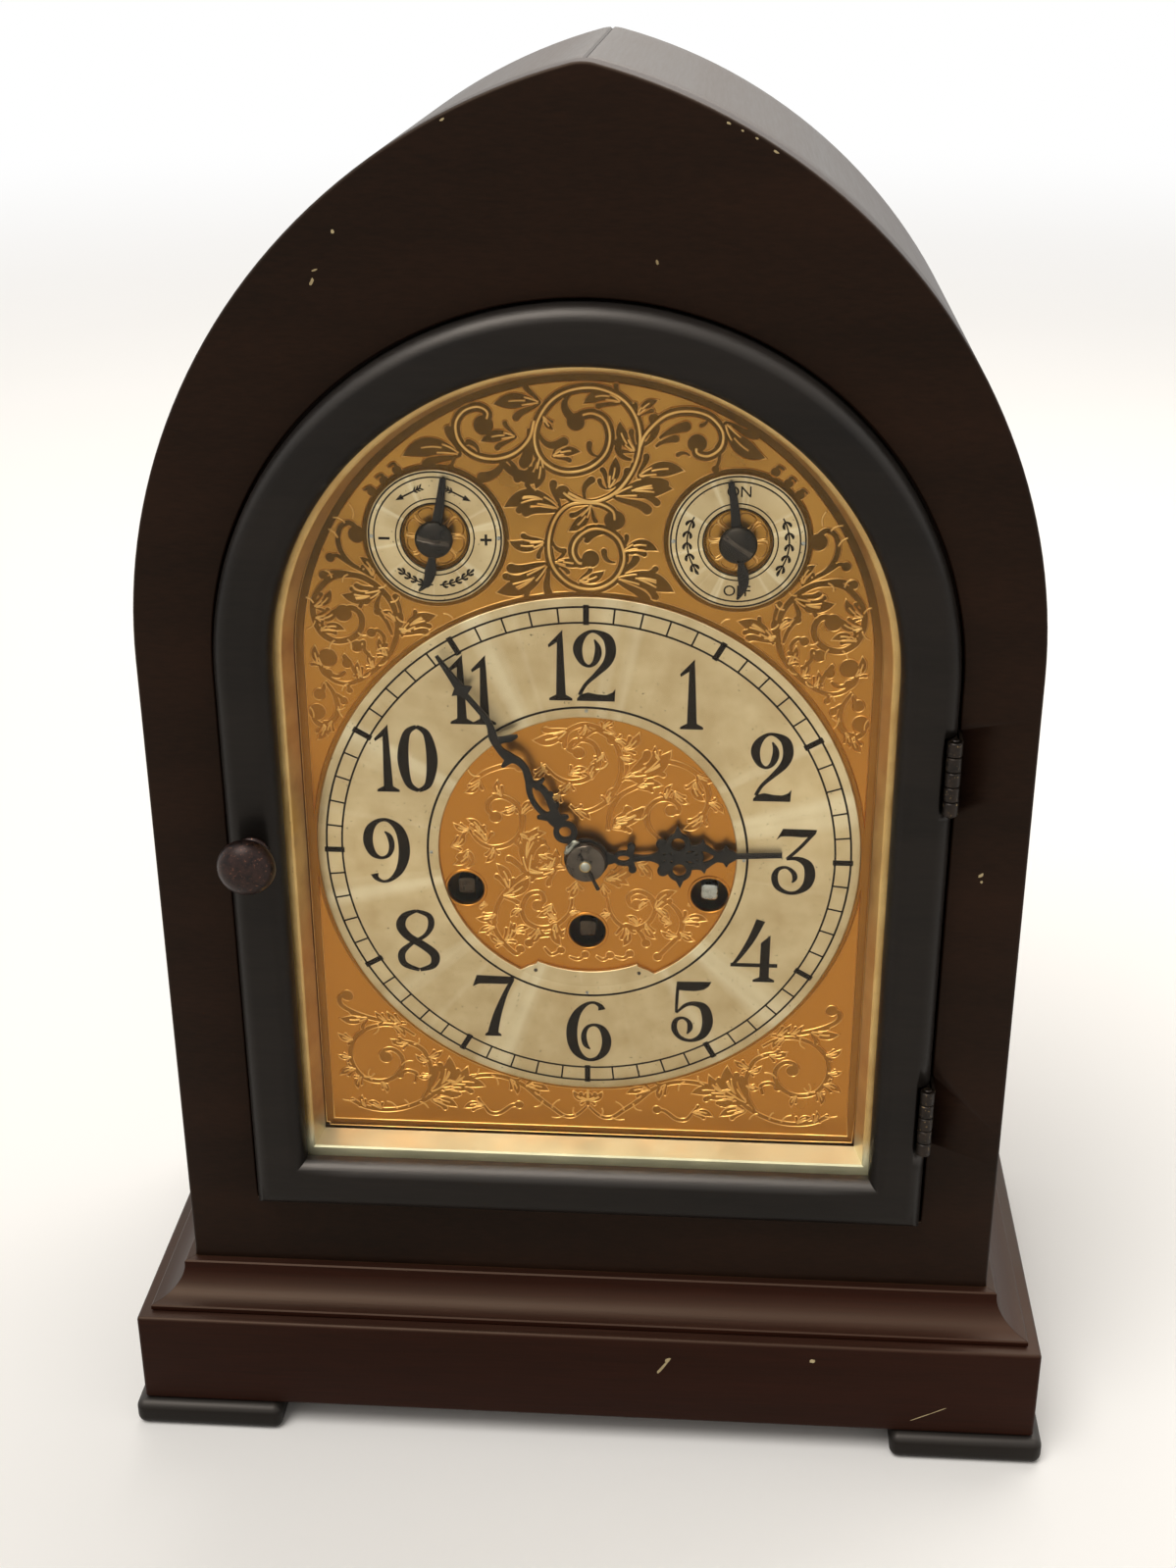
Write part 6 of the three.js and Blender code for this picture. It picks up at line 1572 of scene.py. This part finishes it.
# Pointers of the small dials: a slim blade, a leaf tail, and a domed screw head with its slot
pointers = {"regulator": {"x": -subX, "angle": 10.0, "slot": 10},
            "silence": {"x": subX, "angle": -7.7, "slot": 36}}
pointerShapes = stroke([(0, 0, 2.8), (0.1, 5, 2.3), (0.15, 10, 1.8), (0, 15.0, 1.3)])
pointerShapes.append(disc(0, 15.0, 0.65, 16))
pointerShapes += stroke([(0, 0, 2.4), (0.1, -4.6, 1.3), (0.3, -7.4, 2.5), (0.2, -10.2, 2.2),
                         (-0.7, -12.4, 1.1), (-1.7, -13.8, 0.3)])
pointerShapes.append(disc(0, 0, 3.4, 32))
pointerLayers = [(0, 6.9), (0.08, 6.95), (0.12, 7.1), (0.12, 7.9)]
domeProfile = [(0, 4.9), (1.5, 4.98), (3.0, 5.3), (4.1, 5.8), (4.6, 6.3), (4.7, 6.7), (4.5, 6.95),
               (1.5, 7.0), (1.5, 13.0), (0, 13.0)]
slotShape = {"half": 0.52, "front": 4.0, "floor": 5.75, "reach": 6, "margin": 0.02}
for name, how in pointers.items():
    x, node = how["x"], f"{name}_pointer"
    flat = flatShape(turnedTo(pointerShapes, how["angle"], x, subZ))
    settle(raised(f"{name}Blade", flat, pointerLayers, handMetal, sharp=50), node, "blued", node)
    head = makePiece(f"{name}Screw", *turned(domeProfile, x, subZ), screwMetal, colletMetal)
    cutWith(head, ((x - slotShape["reach"], slotShape["front"], subZ - slotShape["half"]),
                   (x + slotShape["reach"], slotShape["floor"], subZ + slotShape["half"])))
    for face in head.data.polygons:  # the slot is rubbed brighter than the head
        spot = face.center / mm
        within = abs(spot.z - subZ) < slotShape["half"] + slotShape["margin"]
        if within and spot.y - caseFront < slotShape["floor"] + slotShape["margin"]:
            face.material_index = 1
    middle = Matrix.Translation(at(x, 0, subZ))
    head.data.transform(middle @ Matrix.Rotation(math.radians(how["slot"]), 4, "Y") @ middle.inverted())
    settle(head, node, "blued")

# Winding arbors: squared ends with soft corners, sunk in their holes
square = {"half": 2.3, "corner": 5, "round": 2.25, "steps": 32,
          "end": ((0.5, 11.3), (0.82, 11.35), (0.96, 11.6), (1.0, 12.1), (1.0, 18.0)),
          "shaft": (18.2, 74.0)}
angles = [2 * math.pi * i / square["steps"] for i in range(square["steps"])]
for (x, z), word in zip(dial["winding"], ("strike", "chime", "time")):
    rings = []
    for share, y in square["end"]:
        rows = []
        for a in angles:
            power = square["corner"]
            r = square["half"] * share / (abs(math.cos(a)) ** power
                                          + abs(math.sin(a)) ** power) ** (1 / power)
            rows.append((x + r * math.cos(a), y, z + r * math.sin(a)))
        rings.append(rows)
    rings += [[(x + square["round"] * math.cos(a), y, z + square["round"] * math.sin(a)) for a in angles]
              for y in square["shaft"]]
    finish = steelMetal if word == "chime" else squareMetal
    squared = makePiece(f"{word}Square", *loft(rings, caps=True), finish, sharp=40)
    settle(squared, f"{word}_winding_arbor", "steel", f"{word}_winding_arbor")
print("hands made")

# Back: an arched board with sound slots, hung on two surface hinges and held by a turn button
backBoard = {"inset": 8.8, "low": 48.9, "front": 114, "back": 122, "slots": 5, "slotHalf": 3.5,
             "slotLow": 118, "slotLong": 90, "pitch": 20}
boardLoop = [(x, z) for x, _, z in pointedOutline(backBoard["inset"], backBoard["low"], 0)]
slotLoops = []
for i in range(backBoard["slots"]):
    x = (i - (backBoard["slots"] - 1) / 2) * backBoard["pitch"]
    top = arcRows((x, backBoard["slotLow"] + backBoard["slotLong"]), backBoard["slotHalf"], 0, 180, 16)
    slotLoops.append(top + arcRows((x, backBoard["slotLow"]), backBoard["slotHalf"], 180, 360, 16))
front, back = backBoard["front"], backBoard["back"]
edges = [(-0.4, front), (0, front + 0.4), (0, back - 0.9), (-0.25, back - 0.3), (-0.9, back)]
board = raised("slottedBack", flatShape([boardLoop], slotLoops), edges, pineWood, sharp=40)
settle(board, "rear_door", "pine", "back_door")

button = {"x": -108.5, "z": 158, "long": 14, "half": 3,
          "layers": [(-0.3, 122.1), (0, 122.3), (0, 123.7), (-0.15, 124.0), (-0.4, 124.1)]}
ends = arcRows((0, button["long"]), button["half"], 0, 180, 16)
ends += arcRows((0, 0), button["half"], 180, 360, 16)
buttonLoop = [(x + button["x"], z + button["z"]) for x, z in ends]
turnButton = raised("turnButton", flatShape([buttonLoop]), button["layers"], movementMetal, sharp=50)
settle(turnButton, "turn_button", "brass", "back_turn_button")

# Pendulum bob: a turned lens with an eased rim, split for its rod
bob = {"z": 113.09, "y": 87.0, "radius": 15, "half": 4, "steps": 14, "ease": 1.6,
       "split": ((-1.6, 85.7, 90), (1.6, 88.3, 140))}
rows = [(bob["radius"] * math.sin(t * math.pi / 2 / bob["steps"]),
         bob["half"] * math.cos(t * math.pi / 2 / bob["steps"]) ** bob["ease"])
        for t in range(bob["steps"] + 1)]
profile = [(r, bob["y"] - out) for r, out in rows] + [(r, bob["y"] + out) for r, out in reversed(rows[:-1])]
lens = makePiece("lensBob", *turned(profile, 0, bob["z"], 72), movementMetal)
settle(cutWith(lens, bob["split"]), "pendulum", "brass", "pendulum_bob")


# Screws stand wherever a point is given; each head is turned by chance about its own axis
def screwTree():
    tree, given = newTree("screwsOnPoints", {
        "Places": "Object", "Screw": "Object", "Seed": "Int", "Finish": "Material"})
    places, screw = [addNode(tree, "GeometryNodeObjectInfo", {"Object": given[name]}).outputs["Geometry"]
                     for name in ("Places", "Screw")]
    chance = addNode(tree, "FunctionNodeRandomValue", {2: 0.0, 3: 3.14, "Seed": given["Seed"]},
                     data_type="FLOAT").outputs[1]
    spin = addNode(tree, "ShaderNodeCombineXYZ", {1: chance}).outputs[0]
    return copiedTo(tree, places, screw, spin, given["Finish"])


# One slotted screw head looking back, its underside at the origin
def screwHead(radius, high):
    rows = [(0, 0), (radius, 0), (radius, high * 0.45), (radius * 0.92, high * 0.7),
            (radius * 0.6, high * 0.93), (0, high)]
    head = makePiece("screwHead", *turned([(r, y - caseFront) for r, y in rows], 0, 0, 32), screwMetal)
    return cutWith(head, ((-2 * radius, high * 0.4 - caseFront, -radius * 0.13),
                          (2 * radius, 2 * high - caseFront, radius * 0.13)))


screws = screwTree()
screwSets = {
    "caseHingeScrews": ("case", 1.35, 0.7, [(109.1, 122.9, z) for z in (77, 89, 192, 204)], 3),
    "doorHingeScrews": ("rear_door", 1.6, 0.8, [(96.2, 122.9, z) for z in (77, 89, 192, 204)], 5),
    "pillarScrews": ("case", 3.0, 1.6, [(x, 73.55, z) for x in (-46, 46) for z in (133, 223)], 8),
    "buttonScrew": ("turn_button", 2.0, 0.9, [(button["x"], 124.1, button["z"])], 2),
}
for name, (body, radius, high, spots, seed) in screwSets.items():
    head = screwHead(radius, high)
    dots = bpy.data.meshes.new("dots")
    dots.from_pydata([at(*spot) for spot in spots], [], [])
    places = placeMesh("dots", dots)
    given = {"Places": places, "Screw": head, "Seed": seed, "Finish": screwMetal}
    heads = fromTree(name, screws, given, Matrix.Identity(4))
    for extra in (head, places):
        bpy.data.objects.remove(extra)
    settle(heads, body, "steel")

# Knocks: flakes where the finish has gone down to bare wood, and a scratch on the plinth
random.seed(11)


def flake(x, z, long, wide, turn):
    loop = []
    for i in range(12):
        a = 2 * math.pi * i / 12
        r = 0.5 * random.uniform(0.72, 1.12)
        loop.append((r * long * math.cos(a), r * wide * math.sin(a)))
    return moved(loop, x, z, math.radians(turn))


knocks = {
    "panelChips": (0, [
        (-56.7, 335.2, 1.0, 0.8, 80), (-62.1, 324.0, 1.9, 0.8, 65), (-61.3, 326.6, 1.6, 0.4, 20),
        (17.0, 328.9, 1.2, 0.6, 100), (101.0, 176.8, 1.5, 0.9, 45), (101.3, 174.9, 0.9, 0.6, 80),
        (32.3, 359.0, 1.1, 0.5, -28), (35.4, 357.4, 0.7, 0.4, -30), (38.6, 355.8, 0.8, 0.4, -30),
        (42.9, 353.0, 1.3, 0.5, -32), (-30.9, 359.5, 1.2, 0.5, 28)]),
    "plinthChips": (base["plinthFront"], [
        (22.3, 26.8, 6.2, 0.9, 56), (23.9, 29.6, 2.0, 1.3, 60), (64.1, 31.5, 1.5, 1.3, 10),
        (95.2, 13.4, 6.0, 0.24, 27), (100.0, 15.9, 5.0, 0.2, 28)]),
}
for name, (y, places) in knocks.items():
    chips = flatShape([flake(*place) for place in places])
    piece = raised(name, chips, [(0, y - 0.05), (0.06, y + 0.05)], chipWood, closed=False)
    settle(piece, "case", "pine")
# Grey solder that once mended the minute hand at its boss
patch = turnedTo([flake(-1.5, 5.5, 4.4, 2.4, 20), flake(0.5, 6.2, 3.2, 1.8, -10)], hands["minute"]["angle"])
solder = raised("solderPatch", flatShape(patch), [(-0.5, 4.75), (-0.15, 4.85), (0, 5.25)], solderMetal,
                sharp=70)
settle(solder, "minute_group", "steel")
print("back and wear made")

# Kept CAD pieces take the finishes above by their slots
finishOf = {"mahogany": panelWood, "ebonised": doorWood, "pine": flatPine, "glass": paneGlass,
            "gilt": giltMetal, "silvered": silverMetal, "brass": movementMetal, "bronze": bronzeMetal,
            "blued": handMetal, "steel": steelMetal, "iron": ironMetal}
for piece in bpy.data.objects:
    if piece.type == "MESH" and "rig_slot" not in piece:
        for place in piece.material_slots:
            if place.material and place.material.name in finishOf:
                place.material = finishOf[place.material.name]


# The rays that look at a surface: straight, in metal or through glass
def lookingRays(tree):
    rays = addNode(tree, "ShaderNodeLightPath").outputs
    shown = sums(tree, "MAXIMUM", rays["Is Camera Ray"], rays["Is Glossy Ray"])
    return sums(tree, "MAXIMUM", shown, rays["Is Transmission Ray"])


# A wide pale floor; far off it passes into the white of the background for the rays that see it
stage = {"floor": 30.0, "fade": (0.8, 3.2), "tones": ("#f3f2ef", "#f7f6f4"), "cloud": 3.0}
reach = stage["floor"]
mesh = bpy.data.meshes.new("studio floor")
mesh.from_pydata([(-reach, -reach, 0), (reach, -reach, 0), (reach, reach, 0), (-reach, reach, 0)], [],
                 [(0, 1, 2, 3)])
floorMat, tree, shader = newMaterial("studio floor, pale matt",
                                     {"Roughness": 0.85, "Specular IOR Level": 0.1})
place = objectPlace(tree)
wire(tree, shader, {"Base Color": blend(tree, noise(tree, place, stage["cloud"], 2), *stage["tones"])})
away = addNode(tree, "ShaderNodeVectorMath", {0: place}, operation="LENGTH").outputs["Value"]
fade = spread(tree, away, *stage["fade"], interpolation_type="SMOOTHSTEP")
white = addNode(tree, "ShaderNodeEmission", {"Color": (1, 1, 1, 1), "Strength": 1.0}).outputs[0]
mixedSurface(tree, sums(tree, "MULTIPLY", fade, lookingRays(tree)), shader.outputs[0], white)
mesh.materials.append(floorMat)
floor = placeMesh("studioFloor", mesh)

lights = {
    "overhead softbox": {"place": (0.25, 0.75, 1.25), "aim": (0.02, 0.05, 0.3), "size": (1.4, 0.9),
                         "power": 9, "tint": "#fffaf4"},
    "front fill": {"place": (-0.8, -1.3, 1.5), "aim": (0, 0, 0.18), "size": (1.0, 1.0), "power": 3,
                   "tint": "#fff8f0"},
}


def hangLamp(lamp, place, way):
    holder = bpy.data.objects.new(lamp.name, lamp)
    bpy.context.scene.collection.objects.link(holder)
    holder.matrix_world = Matrix.Translation(place) @ way.to_track_quat("-Z", "Y").to_matrix().to_4x4()


for name, how in lights.items():
    lamp = bpy.data.lights.new(name, "AREA")
    lamp.shape, lamp.energy, lamp.color = "RECTANGLE", how["power"], linear(how["tint"])[:3]
    lamp.size, lamp.size_y = how["size"]
    hangLamp(lamp, how["place"], Vector(how["aim"]) - Vector(how["place"]))
# An even soft key over the whole floor
softKey = {"power": 1.45, "spread": 35, "tint": "#fffcf8", "way": (0.3, 0.35, -1)}
lamp = bpy.data.lights.new("soft key", "SUN")
lamp.energy, lamp.angle = softKey["power"], math.radians(softKey["spread"])
lamp.color = linear(softKey["tint"])[:3]
hangLamp(lamp, (0, 0, 0), Vector(softKey["way"]))

# The background is plain white to the eye, in metal and through glass, and a dimmer room to everything else
room = bpy.data.worlds.new("white studio")
bpy.context.scene.world = room
room.use_nodes = True
tree = room.node_tree
tree.nodes.clear()
white = addNode(tree, "ShaderNodeBackground", {"Color": (1, 1, 1, 1), "Strength": 1.0}).outputs[0]
dim = addNode(tree, "ShaderNodeBackground", {"Color": linear("#fffaf4"), "Strength": 0.45}).outputs[0]
both = addNode(tree, "ShaderNodeMixShader", {0: lookingRays(tree), 1: dim, 2: white}).outputs[0]
addNode(tree, "ShaderNodeOutputWorld", {"Surface": both})
bpy.context.scene.view_settings.view_transform = "Standard"

right, up, ahead = [Vector(axis) for axis in cameraAxes()]
eye = bpy.data.cameras.new("camera")
eye.lens, eye.sensor_width, eye.clip_start = cameraSet["lens"], cameraSet["sensor"], cameraSet["near"]
camera = bpy.data.objects.new("camera", eye)
bpy.context.scene.collection.objects.link(camera)
turn = Matrix((right, up, -ahead)).transposed()
camera.matrix_world = Matrix.Translation(cameraSet["place"]) @ turn.to_4x4()
bpy.context.scene.camera = camera
print("stage made")
